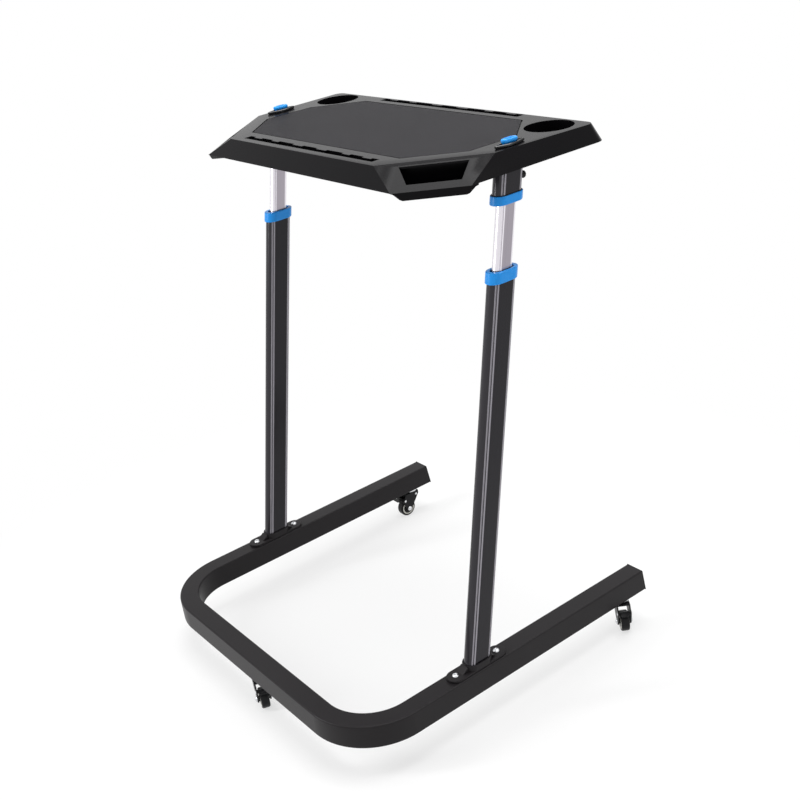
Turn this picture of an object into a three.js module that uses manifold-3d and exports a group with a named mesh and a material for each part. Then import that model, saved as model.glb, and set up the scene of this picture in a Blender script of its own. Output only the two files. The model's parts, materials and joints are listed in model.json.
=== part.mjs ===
// Rolling desk for a bicycle on an indoor trainer, with a height-adjustable top.
// Millimetres, +Z up, +X across the desk, +Y from the closed end of the base to its open ends.
// The origin is on the floor, under the middle of the base.

import * as THREE from 'three';
import { mergeVertices } from 'three/addons/utils/BufferGeometryUtils.js';
import Module from 'manifold-3d';

const wasm = await Module();
wasm.setup();

// Clearances and the fineness of curves
const SEAT_GAP = 0.3;
const RUN_GAP = 0.4;
const CUT_OVERRUN = 12;
const CORNER_STEPS = 10;
const NOSE_STEPS = 8;
const ROUND_STEPS = 20;
const HOLE_STEPS = 8;
const EDGE_STEPS = 1;
const CUP_STEPS = 36;

// Base frame: one tube bent into a U that is open at the back
const BASE_WIDTH = 770;
const BASE_DEPTH = 760;
const BASE_TUBE_WIDTH = 42;
const BASE_TUBE_HEIGHT = 50;
const BASE_TUBE_WALL = 2;
const BASE_TUBE_EDGE = 2.5;
const BASE_CORNER_RADIUS = 140;
const LEG_END_SLANT = 8;
const END_CAP_THICKNESS = 2.5;
const END_CAP_PLUG = 14;

// Posts: they lean back over the open side, so that the top stands over the middle
const POST_LEAN = 12;
const POST_SETBACK = 305;
const OUTER_WIDTH = 30;
const OUTER_DEPTH = 56;
const OUTER_WALL = 1.8;
const INNER_SIDE_CLEARANCE = 2.2;
const INNER_NOSE_CLEARANCE = 7.2;
const INNER_WALL = 1.6;
const INNER_LENGTH = 481.2;
const INNER_SHOWN = 112;
const GROOVE_WIDTH = 2.4;
const GROOVE_DEPTH = 0.9;
const GROOVE_ANGLE = 30;

// Foot brackets and their bolts
const FOOT_WIDTH = 36;
const FOOT_PLATE = 5;
const FOOT_BOLT_CLEARANCE = 2;
const FOOT_SOCKET_WALL = 3.5;
const FOOT_SOCKET_HEIGHT = 11;
const FOOT_GUSSET_WIDTH = 20;
const FOOT_GUSSET_REACH = 12;
const BOLT_HEAD_RADIUS = 6.5;
const BOLT_HEAD_HEIGHT = 4;
const BOLT_SHANK_RADIUS = 3;
const BOLT_LENGTH = 22;

// Blue collars at the ends of the black tubes
const COLLAR_WALL = 3;
const COLLAR_EDGE = 1.2;
const LOWER_COLLAR_SKIRT = 14;
const LOWER_COLLAR_CAP = 6;
const UPPER_COLLAR_SKIRT = 9.5;
const UPPER_COLLAR_CAP = 6;
const SLEEVE_HEIGHT = 64.7;

// Clamp screw at the back of each upper sleeve
const KNOB_DROP = 28;
const KNOB_RADIUS = 6.5;
const KNOB_RIBS = 6;
const KNOB_LENGTH = 9;
const KNOB_SHANK_RADIUS = 2.5;

// Table: a moulded tray with a flared skirt
const TABLE_HEIGHT = 1080;
const TABLE_OVERHANG = 10;
const TABLE_SIDE_FLARE = 19;
const TABLE_TOP_DEPTH = 372;
const TABLE_SKIRT_HEIGHT = 34;
const TABLE_SKIRT_FLARE = 21;
const TABLE_PLATE = 5;
const TABLE_WALL = 3;
const TABLE_BACK_SPREAD = 12;
const TABLE_BACK_CORNER = 15;
const TABLE_RIM_CORNER = 22;
const TABLE_FORWARD = 7;
const GRIP_TOP_X = 138;
const GRIP_END_FORWARD = 36;
const GRIP_FLARE = 63;
const GRIP_DROP = 14;
const GRIP_LOW_LENGTH = 106;
const GRIP_MID_LENGTH = 146;
const GRIP_END_STEPS = 4;
const GRIP_BACK = 8;
const GRIP_WALL = 3;
const GRIP_WINDOW_NEAR = 9;
const GRIP_WINDOW_FAR = 48;
const GRIP_WINDOW_TOP_LENGTH = 118;
const GRIP_WINDOW_LOW_LENGTH = 92;

// Mat, cup wells and device slots in the table
const MAT_THICKNESS = 1.7;
const MAT_RECESS = 2;
const MAT_FRONT_MARGIN = 52;
const MAT_BACK_MARGIN = 35;
const MAT_SIDE_MARGIN = 52;
const MAT_CORNER_WIDTH = 81;
const MAT_FRONT_CORNER = 86;
const MAT_BACK_CORNER = 89;
const CUP_SIDE_MARGIN = 50;
const CUP_BACK_MARGIN = 50;
const CUP_RADIUS = 45;
const CUP_DEPTH = 36;
const CUP_WALL = 3;
const SLOT_END_MARGIN = 26;
const SLOT_WIDTH = 12;
const SLOT_DEPTH = 9;
const SLOT_WALL = 3;
const SLOT_FRONT_MARGIN = 15.5;
const SLOT_BACK_MARGIN = 3;
const SLOT_NOTCH_WIDTH = 17;
const SLOT_NOTCH_SHARES = [[-0.11, 0.11], [0.26, 0.5], [0.61, 0.79], [0.91, 1]];

// Brackets that carry the table on the sleeves
const BRACKET_HEIGHT = 14.4;
const BRACKET_INBOARD = 40;
const BRACKET_OUTBOARD = 7;
const BRACKET_DEPTH = 92;
const BRACKET_PLUG_LENGTH = 12;
const SCREW_HEAD_RADIUS = 4.5;
const SCREW_HEAD_HEIGHT = 2.6;
const SCREW_SHANK_RADIUS = 2;
const SCREW_BITE = 3.2;
const SCREW_INSET = 9;

// Release: a blue tab on the table, a rod in the post and a lock shoe at its lower end
const RELEASE_INBOARD = 4;
const RELEASE_BACK = 4;
const BEZEL_LENGTH = 65;
const BEZEL_WIDTH = 20;
const BEZEL_RIM = 2;
const BEZEL_STAND = 5;
const BEZEL_EDGE = 1;
const BEZEL_FLOOR = 1.4;
const BEZEL_LIP = 2.2;
const TAB_LENGTH = 34;
const TAB_WIDTH = 13.5;
const TAB_STAND = 13.5;
const TAB_EDGE = 1.1;
const TAB_STEM_INSET = 2.6;
const ROD_RADIUS = 2;
const ROD_FLANGE_RADIUS = 4.2;
const ROD_FLANGE_THICKNESS = 2;
const ROD_BITE = 4;
const TAB_PULL = 10;
const SHOE_RETRACT = 1.5;
const WEDGE_RADIUS = 5;
const WEDGE_SHOULDER = 1.5;
const SPRING_TURNS = 5;
const SPRING_TURN_STEPS = 8;
const SPRING_SIDES = 5;
const SPRING_MEAN_RADIUS = 3.2;
const SPRING_WIRE_RADIUS = 0.5;
const SPRING_LENGTH = 21.5;
const SPRING_HEADROOM = 1.5;
const GUIDE_FLOOR = 16;
const GUIDE_SOCKET = 20;
const SHOE_WIDTH = 8;
const SHOE_HEIGHT = 8;
const SHOE_START = 2.5;

// Casters: one under the closed end and one under each leg
const WHEEL_RADIUS = 22;
const WHEEL_WIDTH = 18;
const WHEEL_EDGE = 3;
const AXLE_RADIUS = 3;
const AXLE_HEAD_RADIUS = 6;
const AXLE_HEAD_LENGTH = 3.5;
const FORK_TRAIL = 18;
const FORK_PLATE = 3;
const FORK_SIDE_CLEARANCE = 2.5;
const FORK_HEADROOM = 16;
const FORK_CROWN_FRONT = 15;
const FORK_CROWN_BACK = 22;
const FORK_AXLE_LOBE = 8;
const STEM_FLANGE_RADIUS = 17;
const STEM_FLANGE = 4;
const STEM_RACE = 2.4;
const STEM_RACE_RADIUS = 12;
const STEM_PIN_RADIUS = 5;
const STEM_HEAD_RADIUS = 8;
const STEM_HEAD = 2.5;
const STEM_THREAD_RADIUS = 4;
const STEM_THREAD_LENGTH = 14;
const PEDAL_PIVOT_TRAIL = 10;
const PEDAL_PIVOT_CLEARANCE = 2.6;
const PEDAL_PIN_RADIUS = 2;
const PEDAL_HUB_RADIUS = 4;
const PEDAL_CAM_RADIUS = 4.4;
const PEDAL_CAM_REACH = 3.2;
const PEDAL_WIDTH = 18;
const PEDAL_LENGTH = 21;
const PEDAL_THICKNESS = 3;
const PEDAL_RISE = 4;
const CASTER_INSET = 55;
const CASTER_TURNS = { front: 70, left: 0, right: 55 };

// The casters carry the base, and their crown clears the wheel
const FORK_INNER_WIDTH = WHEEL_WIDTH + 2 * FORK_SIDE_CLEARANCE;
const FORK_CROWN_HEIGHT = 2 * WHEEL_RADIUS + FORK_HEADROOM + FORK_PLATE;
const PEDAL_PIVOT_BACK = FORK_TRAIL + PEDAL_PIVOT_TRAIL;
const PEDAL_PIVOT_HEIGHT = 2 * WHEEL_RADIUS + PEDAL_PIVOT_CLEARANCE;
const BASE_CLEARANCE = FORK_CROWN_HEIGHT + STEM_RACE + STEM_FLANGE + 2 * SEAT_GAP;
const BASE_TOP = BASE_CLEARANCE + BASE_TUBE_HEIGHT;

// Places on the base
const FRONT_Y = -BASE_DEPTH / 2;
const BACK_Y = BASE_DEPTH / 2;
const CASTER_BACK_Y = BACK_Y - CASTER_INSET;
const LEG_X = BASE_WIDTH / 2 - BASE_TUBE_WIDTH / 2;
const POST_FOOT_Y = FRONT_Y + POST_SETBACK;
const LEAN = THREE.MathUtils.degToRad(POST_LEAN);
const FOOT_BOLT_REACH = OUTER_DEPTH / 2 + FOOT_SOCKET_WALL + FOOT_GUSSET_REACH
  + FOOT_BOLT_CLEARANCE + BOLT_HEAD_RADIUS;

// Levels under the table, and distances along a post's axis that follow from them
const postYAt = (z) => POST_FOOT_Y + (z - BASE_TOP) * Math.tan(LEAN);
const alongPost = (z) => (z - BASE_TOP) / Math.cos(LEAN);
const TABLE_RIM_Z = TABLE_HEIGHT - TABLE_SKIRT_HEIGHT;
const TABLE_UNDERSIDE = TABLE_HEIGHT - TABLE_PLATE;
const BRACKET_TOP = TABLE_UNDERSIDE - SEAT_GAP;
const BRACKET_BOTTOM = BRACKET_TOP - BRACKET_HEIGHT;
const BRACKET_CEILING_SHARE = 0.42;
const BRACKET_CEILING = BRACKET_BOTTOM + BRACKET_HEIGHT * BRACKET_CEILING_SHARE;
const INNER_TOP = BRACKET_CEILING - SEAT_GAP;
const INNER_START = alongPost(INNER_TOP) - INNER_LENGTH;
const INNER_WIDTH = OUTER_WIDTH - 2 * (OUTER_WALL + INNER_SIDE_CLEARANCE);
const INNER_DEPTH = OUTER_DEPTH - 2 * (OUTER_WALL + INNER_NOSE_CLEARANCE);
const SLEEVE_TOP = BRACKET_BOTTOM - SEAT_GAP;
const SLEEVE_BOTTOM = SLEEVE_TOP - SLEEVE_HEIGHT;
const UPPER_COLLAR_BOTTOM = SLEEVE_BOTTOM - SEAT_GAP - UPPER_COLLAR_CAP;
const OUTER_TOP = UPPER_COLLAR_BOTTOM - INNER_SHOWN - LOWER_COLLAR_CAP - SEAT_GAP;
const LOWER_COLLAR_BOTTOM = OUTER_TOP + SEAT_GAP - LOWER_COLLAR_SKIRT;
const KNOB_HEIGHT = alongPost(SLEEVE_TOP) - KNOB_DROP;
const OUTER_LENGTH = alongPost(OUTER_TOP);
const SPRING_TOP = alongPost(BRACKET_CEILING) + RELEASE_BACK * Math.tan(LEAN) - SPRING_HEADROOM;
const SPRING_START = SPRING_TOP - SPRING_LENGTH - SPRING_WIRE_RADIUS;
const ROD_FLANGE_HEIGHT = SPRING_START - SPRING_WIRE_RADIUS - SEAT_GAP - ROD_FLANGE_THICKNESS;

// Places on the table, which stands over the posts
const TABLE_WIDTH = BASE_WIDTH + 2 * TABLE_OVERHANG;
const TABLE_TOP_WIDTH = TABLE_WIDTH - 2 * TABLE_SIDE_FLARE;
const TABLE_CENTRE_Y = postYAt(TABLE_HEIGHT) - TABLE_FORWARD;
const TABLE_FRONT_Y = TABLE_CENTRE_Y - TABLE_TOP_DEPTH / 2;
const TABLE_BACK_Y = TABLE_FRONT_Y + TABLE_TOP_DEPTH;
const GRIP_TOP_Y = TABLE_TOP_DEPTH / 2 - GRIP_END_FORWARD;
const CUP_X = TABLE_TOP_WIDTH / 2 - CUP_SIDE_MARGIN;
const CUP_Y = TABLE_BACK_Y - CUP_BACK_MARGIN;
const SLOT_LENGTH = TABLE_TOP_WIDTH - 2 * (GRIP_TOP_X + SLOT_END_MARGIN);
const SLOT_FRONT_Y = TABLE_FRONT_Y + SLOT_FRONT_MARGIN;
const SLOT_BACK_Y = TABLE_BACK_Y - SLOT_BACK_MARGIN - SLOT_NOTCH_WIDTH;

const SIDES = [['left', -1], ['right', 1]];

const MATERIALS = {
  powderCoat: { color: 0x1b1a1d, roughness: 0.5, metalness: 0.3 },
  blackTube: { color: 0x17171b, roughness: 0.32, metalness: 0.5 },
  aluminium: { color: 0xc4c5c9, roughness: 0.3, metalness: 1 },
  bluePlastic: { color: 0x1c79d6, roughness: 0.4, metalness: 0 },
  moulding: { color: 0x242328, roughness: 0.6, metalness: 0 },
  mat: { color: 0x2f2e33, roughness: 0.85, metalness: 0 },
  blackPlastic: { color: 0x141416, roughness: 0.45, metalness: 0 },
  nylon: { color: 0xd8d6cf, roughness: 0.6, metalness: 0 },
  tyre: { color: 0x19191b, roughness: 0.7, metalness: 0 },
  zinc: { color: 0xb9bbbf, roughness: 0.28, metalness: 1 },
};

// Geometry, solids and back

function toSolid(geometry) {
  const bare = geometry.clone();
  bare.deleteAttribute('normal');
  bare.deleteAttribute('uv');
  const welded = mergeVertices(bare);
  return new wasm.Manifold(new wasm.Mesh({
    numProp: 3,
    vertProperties: Float32Array.from(welded.attributes.position.array),
    triVerts: Uint32Array.from(welded.index.array),
  }));
}

function toGeometry(body) {
  const mesh = body.getMesh();
  const geometry = new THREE.BufferGeometry();
  geometry.setAttribute('position', new THREE.BufferAttribute(mesh.vertProperties, 3));
  geometry.setIndex(new THREE.BufferAttribute(mesh.triVerts, 1));
  return geometry;
}

function join(...geometries) {
  return toGeometry(geometries.map(toSolid).reduce((all, next) => all.add(next)));
}

function cut(geometry, ...tools) {
  return toGeometry(tools.map(toSolid).reduce((rest, tool) => rest.subtract(tool), toSolid(geometry)));
}

// Basic shapes

function outline(points) {
  return new THREE.Shape(points.map(([x, y]) => new THREE.Vector2(x, y)));
}

// A prism along +Z from z = start, with both rims rounded by edge
function prism(shape, start, height, edge = 0) {
  const geometry = new THREE.ExtrudeGeometry(shape, {
    depth: height - 2 * edge,
    bevelEnabled: edge > 0,
    bevelThickness: edge,
    bevelSize: edge,
    bevelOffset: -edge,
    bevelSegments: EDGE_STEPS,
    curveSegments: CORNER_STEPS,
  });
  return geometry.translate(0, 0, start + edge);
}

function block(x0, x1, y0, y1, z0, z1) {
  const geometry = new THREE.BoxGeometry(x1 - x0, y1 - y0, z1 - z0);
  return geometry.translate((x0 + x1) / 2, (y0 + y1) / 2, (z0 + z1) / 2);
}

function rod(radius, start, height, steps = HOLE_STEPS) {
  const geometry = new THREE.CylinderGeometry(radius, radius, height, steps);
  return geometry.rotateX(Math.PI / 2).translate(0, 0, start + height / 2);
}

// A turned piece about +Z from a list of [radius, height] points
function turned(profile, steps = ROUND_STEPS) {
  const points = profile.map(([radius, height]) => new THREE.Vector2(radius, height));
  return new THREE.LatheGeometry(points, steps).rotateX(Math.PI / 2);
}

// A solid through outlines with the same number of points, each a pair of points and a level
function lofted(levels) {
  const count = levels[0][0].length;
  const points = levels.flatMap(([section, z]) => section.map(([x, y]) => [x, y, z]));
  const top = points.length - count;
  const faces = [];
  for (let below = 0; below < top; below += count) {
    const above = below + count;
    for (let i = 0; i < count; i++) {
      const next = (i + 1) % count;
      faces.push(below + i, below + next, above + next, below + i, above + next, above + i);
    }
  }
  for (let i = 1; i < count - 1; i++) {
    faces.push(0, i + 1, i, top, top + i, top + i + 1);
  }
  const geometry = new THREE.BufferGeometry();
  geometry.setAttribute('position', new THREE.BufferAttribute(new Float32Array(points.flat()), 3));
  geometry.setIndex(faces);
  return geometry;
}

const loft = (lower, lowerZ, upper, upperZ) => lofted([[lower, lowerZ], [upper, upperZ]]);

// Points of an arc about a centre, from one angle to another in degrees
function arc([cx, cy], radius, from, to, steps) {
  return Array.from({ length: steps + 1 }, (_, i) => {
    const angle = THREE.MathUtils.degToRad(from + (to - from) * i / steps);
    return [cx + radius * Math.cos(angle), cy + radius * Math.sin(angle)];
  });
}

// Moves every side of a convex outline inwards by a distance
function inset(points, distance) {
  const count = points.length;
  const edges = points.map(([x, y], i) => {
    const [nx, ny] = points[(i + 1) % count];
    const length = Math.hypot(nx - x, ny - y);
    const along = [(nx - x) / length, (ny - y) / length];
    return { along, from: [x - along[1] * distance, y + along[0] * distance] };
  });
  return edges.map((edge, i) => {
    const last = edges[(i + count - 1) % count];
    const cross = last.along[0] * edge.along[1] - last.along[1] * edge.along[0];
    const gap = [edge.from[0] - last.from[0], edge.from[1] - last.from[1]];
    const reach = (gap[0] * edge.along[1] - gap[1] * edge.along[0]) / cross;
    return [last.from[0] + last.along[0] * reach, last.from[1] + last.along[1] * reach];
  });
}

function mirrored(points) {
  return points.map(([x, y]) => [-x, y]).reverse();
}

// Flat oval section with its long axis along Y
function oval(width, depth, gap = 0) {
  const radius = width / 2 + gap;
  const centre = (depth - width) / 2;
  return [
    ...arc([0, centre], radius, 0, 180, NOSE_STEPS),
    ...arc([0, -centre], radius, 180, 360, NOSE_STEPS),
  ];
}

// The same section with a groove at each shoulder
function groovedOval(width, depth) {
  const radius = width / 2;
  const centre = (depth - width) / 2;
  const half = THREE.MathUtils.radToDeg(GROOVE_WIDTH / width);
  const nose = (cy, start) => {
    const centreOf = [0, cy];
    const groove = (angle) => [
      ...arc(centreOf, radius, angle - half, angle - half, 1).slice(0, 1),
      ...arc(centreOf, radius - GROOVE_DEPTH, angle - half / 2, angle + half / 2, 1),
      ...arc(centreOf, radius, angle + half, angle + half, 1).slice(0, 1),
    ];
    const first = start + GROOVE_ANGLE;
    const last = start + 180 - GROOVE_ANGLE;
    return [
      ...arc(centreOf, radius, start, first - 2 * half, 2),
      ...groove(first),
      ...arc(centreOf, radius, first + 2 * half, last - 2 * half, NOSE_STEPS - 4),
      ...groove(last),
      ...arc(centreOf, radius, last + 2 * half, start + 180, 2),
    ];
  };
  return [...nose(centre, 0), ...nose(-centre, 180)];
}

// Frames of the two posts

const postFrame = (side) => new THREE.Matrix4()
  .makeTranslation(side * LEG_X, POST_FOOT_Y, BASE_TOP)
  .multiply(new THREE.Matrix4().makeRotationX(-LEAN));

// Carries a level cutting block from the desk's frame into a post's own frame
function levelCut(z0, z1) {
  const reach = OUTER_LENGTH;
  const tool = block(-reach, reach, -reach, reach, z0 - BASE_TOP, z1 - BASE_TOP);
  return tool.applyMatrix4(new THREE.Matrix4().makeRotationX(LEAN));
}

// A prism that leans with the posts between two levels, in a post's own frame
function leaningPrism(section, bottom, top, edge = 0) {
  const level = outline(section.map(([x, y]) => [x, y / Math.cos(LEAN)]));
  const lean = new THREE.Matrix4().makeShear(0, 0, 0, 0, 0, Math.tan(LEAN));
  return prism(level, bottom - BASE_TOP, top - bottom, edge).applyMatrix4(lean)
    .applyMatrix4(new THREE.Matrix4().makeRotationX(LEAN));
}

// Base frame

function uBand(halfWidth, front, end, radius, width) {
  const cx = halfWidth - radius;
  const cy = front + radius;
  const steps = CORNER_STEPS;
  return outline([
    [-halfWidth, end],
    ...arc([-cx, cy], radius, 180, 270, steps),
    ...arc([cx, cy], radius, 270, 360, steps),
    [halfWidth, end],
    [halfWidth - width, end],
    ...arc([cx, cy], radius - width, 360, 270, steps),
    ...arc([-cx, cy], radius - width, 270, 180, steps),
    [width - halfWidth, end],
  ]);
}

// A block behind the slanted line that ends both legs
function legEndCut(setback) {
  const top = BACK_Y - LEG_END_SLANT - setback;
  const bottom = BACK_Y - setback;
  const slope = (bottom - top) / BASE_TUBE_HEIGHT;
  const over = CUT_OVERRUN;
  const shape = outline([
    [top - slope * over, BASE_TOP + over],
    [bottom + slope * over, BASE_CLEARANCE - over],
    [bottom + setback + over * 2, BASE_CLEARANCE - over],
    [bottom + setback + over * 2, BASE_TOP + over],
  ]);
  return acrossX(shape, BASE_WIDTH + over * 2);
}

// A prism along X whose outline is drawn in Y and Z, centred on x = 0
function acrossX(shape, length, edge = 0) {
  const matrix = new THREE.Matrix4().makeBasis(
    new THREE.Vector3(0, 1, 0), new THREE.Vector3(0, 0, 1), new THREE.Vector3(1, 0, 0));
  return prism(shape, -length / 2, length, edge).applyMatrix4(matrix);
}

function casterStations() {
  return {
    front: [0, FRONT_Y + BASE_TUBE_WIDTH / 2],
    left: [-LEG_X, CASTER_BACK_Y],
    right: [LEG_X, CASTER_BACK_Y],
  };
}

function baseFrame() {
  const half = BASE_WIDTH / 2;
  const wall = BASE_TUBE_WALL;
  const tube = prism(
    uBand(half, FRONT_Y, BACK_Y + CUT_OVERRUN, BASE_CORNER_RADIUS, BASE_TUBE_WIDTH),
    BASE_CLEARANCE, BASE_TUBE_HEIGHT, BASE_TUBE_EDGE);
  const hollow = prism(
    uBand(half - wall, FRONT_Y + wall, BACK_Y + CUT_OVERRUN * 2, BASE_CORNER_RADIUS - wall,
      BASE_TUBE_WIDTH - 2 * wall),
    BASE_CLEARANCE + wall, BASE_TUBE_HEIGHT - 2 * wall);
  const holes = Object.values(casterStations()).map(([x, y]) => (
    rod(STEM_THREAD_RADIUS + SEAT_GAP, BASE_CLEARANCE - wall, wall * 3, ROUND_STEPS)
      .translate(x, y, 0)));
  for (const [, side] of SIDES) {
    for (const end of [-1, 1]) {
      const hole = rod(BOLT_SHANK_RADIUS + SEAT_GAP, BASE_TOP - wall * 2, wall * 3);
      holes.push(hole.translate(side * LEG_X, POST_FOOT_Y + end * FOOT_BOLT_REACH, 0));
    }
  }
  return cut(tube, hollow, legEndCut(END_CAP_THICKNESS + SEAT_GAP), ...holes);
}

// Plastic plug with a cover plate that closes the slanted end of a leg
function endCap() {
  const half = BASE_TUBE_WIDTH / 2;
  const inner = half - BASE_TUBE_WALL - SEAT_GAP;
  const plate = prism(
    outline([[-half, -half], [half, -half], [half, half], [-half, half]]), 0, BASE_TUBE_HEIGHT);
  plate.scale(1, 2, 1).translate(0, BACK_Y, BASE_CLEARANCE);
  const cover = cut(plate, legEndCut(0), block(-half * 2, half * 2, 0, BACK_Y - BASE_TUBE_HEIGHT,
    0, BASE_TOP * 2));
  const face = toGeometry(toSolid(cover).intersect(toSolid(legEndCut(END_CAP_THICKNESS))));
  const plug = cut(
    block(-inner, inner, BACK_Y - LEG_END_SLANT - END_CAP_PLUG, BACK_Y,
      BASE_CLEARANCE + BASE_TUBE_WALL + SEAT_GAP, BASE_TOP - BASE_TUBE_WALL - SEAT_GAP),
    legEndCut(END_CAP_THICKNESS / 2));
  return join(face, plug);
}

// Post feet

function footBracket() {
  const reach = FOOT_BOLT_REACH;
  const radius = FOOT_WIDTH / 2;
  const plate = prism(outline([
    ...arc([0, reach], radius, 0, 180, NOSE_STEPS),
    ...arc([0, -reach], radius, 180, 360, NOSE_STEPS),
  ]), SEAT_GAP, FOOT_PLATE);
  const top = SEAT_GAP + FOOT_PLATE;
  const lean = (geometry) => geometry.applyMatrix4(new THREE.Matrix4().makeRotationX(-LEAN));
  const long = OUTER_DEPTH;
  const socketShape = outline(oval(OUTER_WIDTH, OUTER_DEPTH, FOOT_SOCKET_WALL));
  const socket = cut(
    lean(prism(socketShape, -long, 2 * long)),
    block(-long, long, -long, long, -2 * long, SEAT_GAP + FOOT_PLATE / 2),
    block(-long, long, -long, long, top + FOOT_SOCKET_HEIGHT, 2 * long));
  const foot = OUTER_DEPTH / 2;
  const gussets = [-1, 1].map((end) => acrossX(outline([
    [end * foot, top - FOOT_PLATE / 2],
    [end * (foot + FOOT_SOCKET_WALL + FOOT_GUSSET_REACH), top - FOOT_PLATE / 2],
    [end * (foot + FOOT_SOCKET_WALL + FOOT_GUSSET_REACH), top],
    [end * foot, top + FOOT_SOCKET_HEIGHT],
  ]), FOOT_GUSSET_WIDTH));
  const bore = cut(
    lean(prism(outline(oval(OUTER_WIDTH, OUTER_DEPTH, SEAT_GAP)), -long, 3 * long)),
    block(-long, long, -long, long, -2 * long, top));
  const boltHoles = [-1, 1].map((end) => (
    rod(BOLT_SHANK_RADIUS + SEAT_GAP, -FOOT_PLATE, FOOT_PLATE * 3).translate(0, end * reach, 0)));
  return cut(join(plate, socket, ...gussets), bore, ...boltHoles);
}

// Bolt with a domed head; z = 0 is the face that the head sits on
function domeBolt() {
  const shank = BOLT_SHANK_RADIUS;
  const head = BOLT_HEAD_RADIUS;
  const dome = Array.from({ length: 5 }, (_, i) => {
    const angle = i / 5 * Math.PI / 2;
    return [head * Math.cos(angle), SEAT_GAP + BOLT_HEAD_HEIGHT * Math.sin(angle)];
  });
  return turned([
    [0, SEAT_GAP - BOLT_LENGTH], [shank, SEAT_GAP - BOLT_LENGTH], [shank, SEAT_GAP],
    ...dome, [0, SEAT_GAP + BOLT_HEAD_HEIGHT],
  ], HOLE_STEPS);
}

// Telescopic posts, drawn along +Z in each post's own frame

// Black tube with level ends
function blackTube(bottom, top) {
  return cut(
    leaningPrism(groovedOval(OUTER_WIDTH, OUTER_DEPTH), bottom, top),
    leaningPrism(oval(OUTER_WIDTH, OUTER_DEPTH, -OUTER_WALL), bottom - CUT_OVERRUN, top + CUT_OVERRUN));
}

const outerTube = () => blackTube(BASE_TOP + FOOT_PLATE + 2 * SEAT_GAP, OUTER_TOP);

// The aluminium tube is cut square at its foot and level at its top
function innerTube() {
  const length = OUTER_LENGTH;
  const start = INNER_START;
  return cut(
    prism(outline(groovedOval(INNER_WIDTH, INNER_DEPTH)), start, length),
    prism(outline(oval(INNER_WIDTH, INNER_DEPTH, -INNER_WALL)), start - CUT_OVERRUN,
      length + 2 * CUT_OVERRUN),
    levelCut(INNER_TOP, INNER_TOP + length));
}

function sleeve() {
  const hole = rod(KNOB_SHANK_RADIUS + SEAT_GAP, 0, OUTER_DEPTH).rotateX(-Math.PI / 2);
  return cut(blackTube(SLEEVE_BOTTOM, SLEEVE_TOP), hole.translate(0, 0, KNOB_HEIGHT));
}

// Level collar that caps a black tube and guides the aluminium tube through it
function collar(bottom, height, seatBottom, seatTop, guideGap) {
  const top = bottom + height;
  const over = CUT_OVERRUN;
  return cut(
    leaningPrism(oval(OUTER_WIDTH, OUTER_DEPTH, SEAT_GAP + COLLAR_WALL), bottom, top, COLLAR_EDGE),
    leaningPrism(oval(INNER_WIDTH, INNER_DEPTH, guideGap), bottom - over, top + over),
    leaningPrism(oval(OUTER_WIDTH, OUTER_DEPTH, SEAT_GAP), seatBottom, seatTop));
}

const lowerCollar = () => collar(LOWER_COLLAR_BOTTOM, LOWER_COLLAR_SKIRT + LOWER_COLLAR_CAP,
  LOWER_COLLAR_BOTTOM - CUT_OVERRUN, OUTER_TOP + SEAT_GAP, RUN_GAP);
const upperCollar = () => collar(UPPER_COLLAR_BOTTOM, UPPER_COLLAR_SKIRT + UPPER_COLLAR_CAP,
  SLEEVE_BOTTOM - SEAT_GAP, SLEEVE_BOTTOM + UPPER_COLLAR_SKIRT + CUT_OVERRUN, SEAT_GAP);

// Thumb screw, drawn along +Y in the post's frame; its tip bears on the aluminium tube
function clampKnob() {
  const tip = INNER_DEPTH / 2 + SEAT_GAP;
  const seat = OUTER_DEPTH / 2 + SEAT_GAP;
  const neckShare = 0.7;
  const grip = Array.from({ length: 4 * KNOB_RIBS }, (_, i) => {
    const ribShare = i % 4 < 2 ? 1 : 0.9;
    const angle = i / (2 * KNOB_RIBS) * Math.PI;
    const radius = KNOB_RADIUS * ribShare;
    return [radius * Math.cos(angle), radius * Math.sin(angle)];
  });
  const head = prism(outline(grip), seat, KNOB_LENGTH, KNOB_SHANK_RADIUS / 4);
  const shank = rod(KNOB_SHANK_RADIUS, tip, seat - tip + KNOB_LENGTH * neckShare);
  return join(head, shank).rotateX(-Math.PI / 2).translate(0, 0, KNOB_HEIGHT);
}

// Nylon guide on the lower end of the aluminium tube; the lock shoe slides in its window
function slideGuide(side) {
  const start = INNER_START - SEAT_GAP - GUIDE_FLOOR;
  const over = CUT_OVERRUN;
  const body = prism(outline(oval(OUTER_WIDTH, OUTER_DEPTH, -OUTER_WALL - RUN_GAP)), start,
    GUIDE_FLOOR + GUIDE_SOCKET);
  const socket = prism(outline(oval(INNER_WIDTH, INNER_DEPTH, SEAT_GAP)), INNER_START - SEAT_GAP,
    GUIDE_SOCKET + over);
  const well = rod(WEDGE_RADIUS + RUN_GAP * 2, start - over, GUIDE_FLOOR + 2 * over);
  const halfWidth = SHOE_WIDTH / 2 + RUN_GAP;
  const window = block(-halfWidth, halfWidth, 0, OUTER_DEPTH,
    start + SHOE_START - RUN_GAP, start + SHOE_START + SHOE_HEIGHT + RUN_GAP);
  const x = -side * RELEASE_INBOARD;
  return cut(body, socket, well.translate(x, RELEASE_BACK, 0), window.translate(x, RELEASE_BACK, 0));
}

// The wedge narrows downwards, so the shoe draws in as the rod is pulled up
const shoeBottom = () => INNER_START - SEAT_GAP - GUIDE_FLOOR + SHOE_START;
const wedgeRadiusAt = (z) => (
  WEDGE_RADIUS - (shoeBottom() + SHOE_HEIGHT - z) * SHOE_RETRACT / TAB_PULL);

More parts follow.
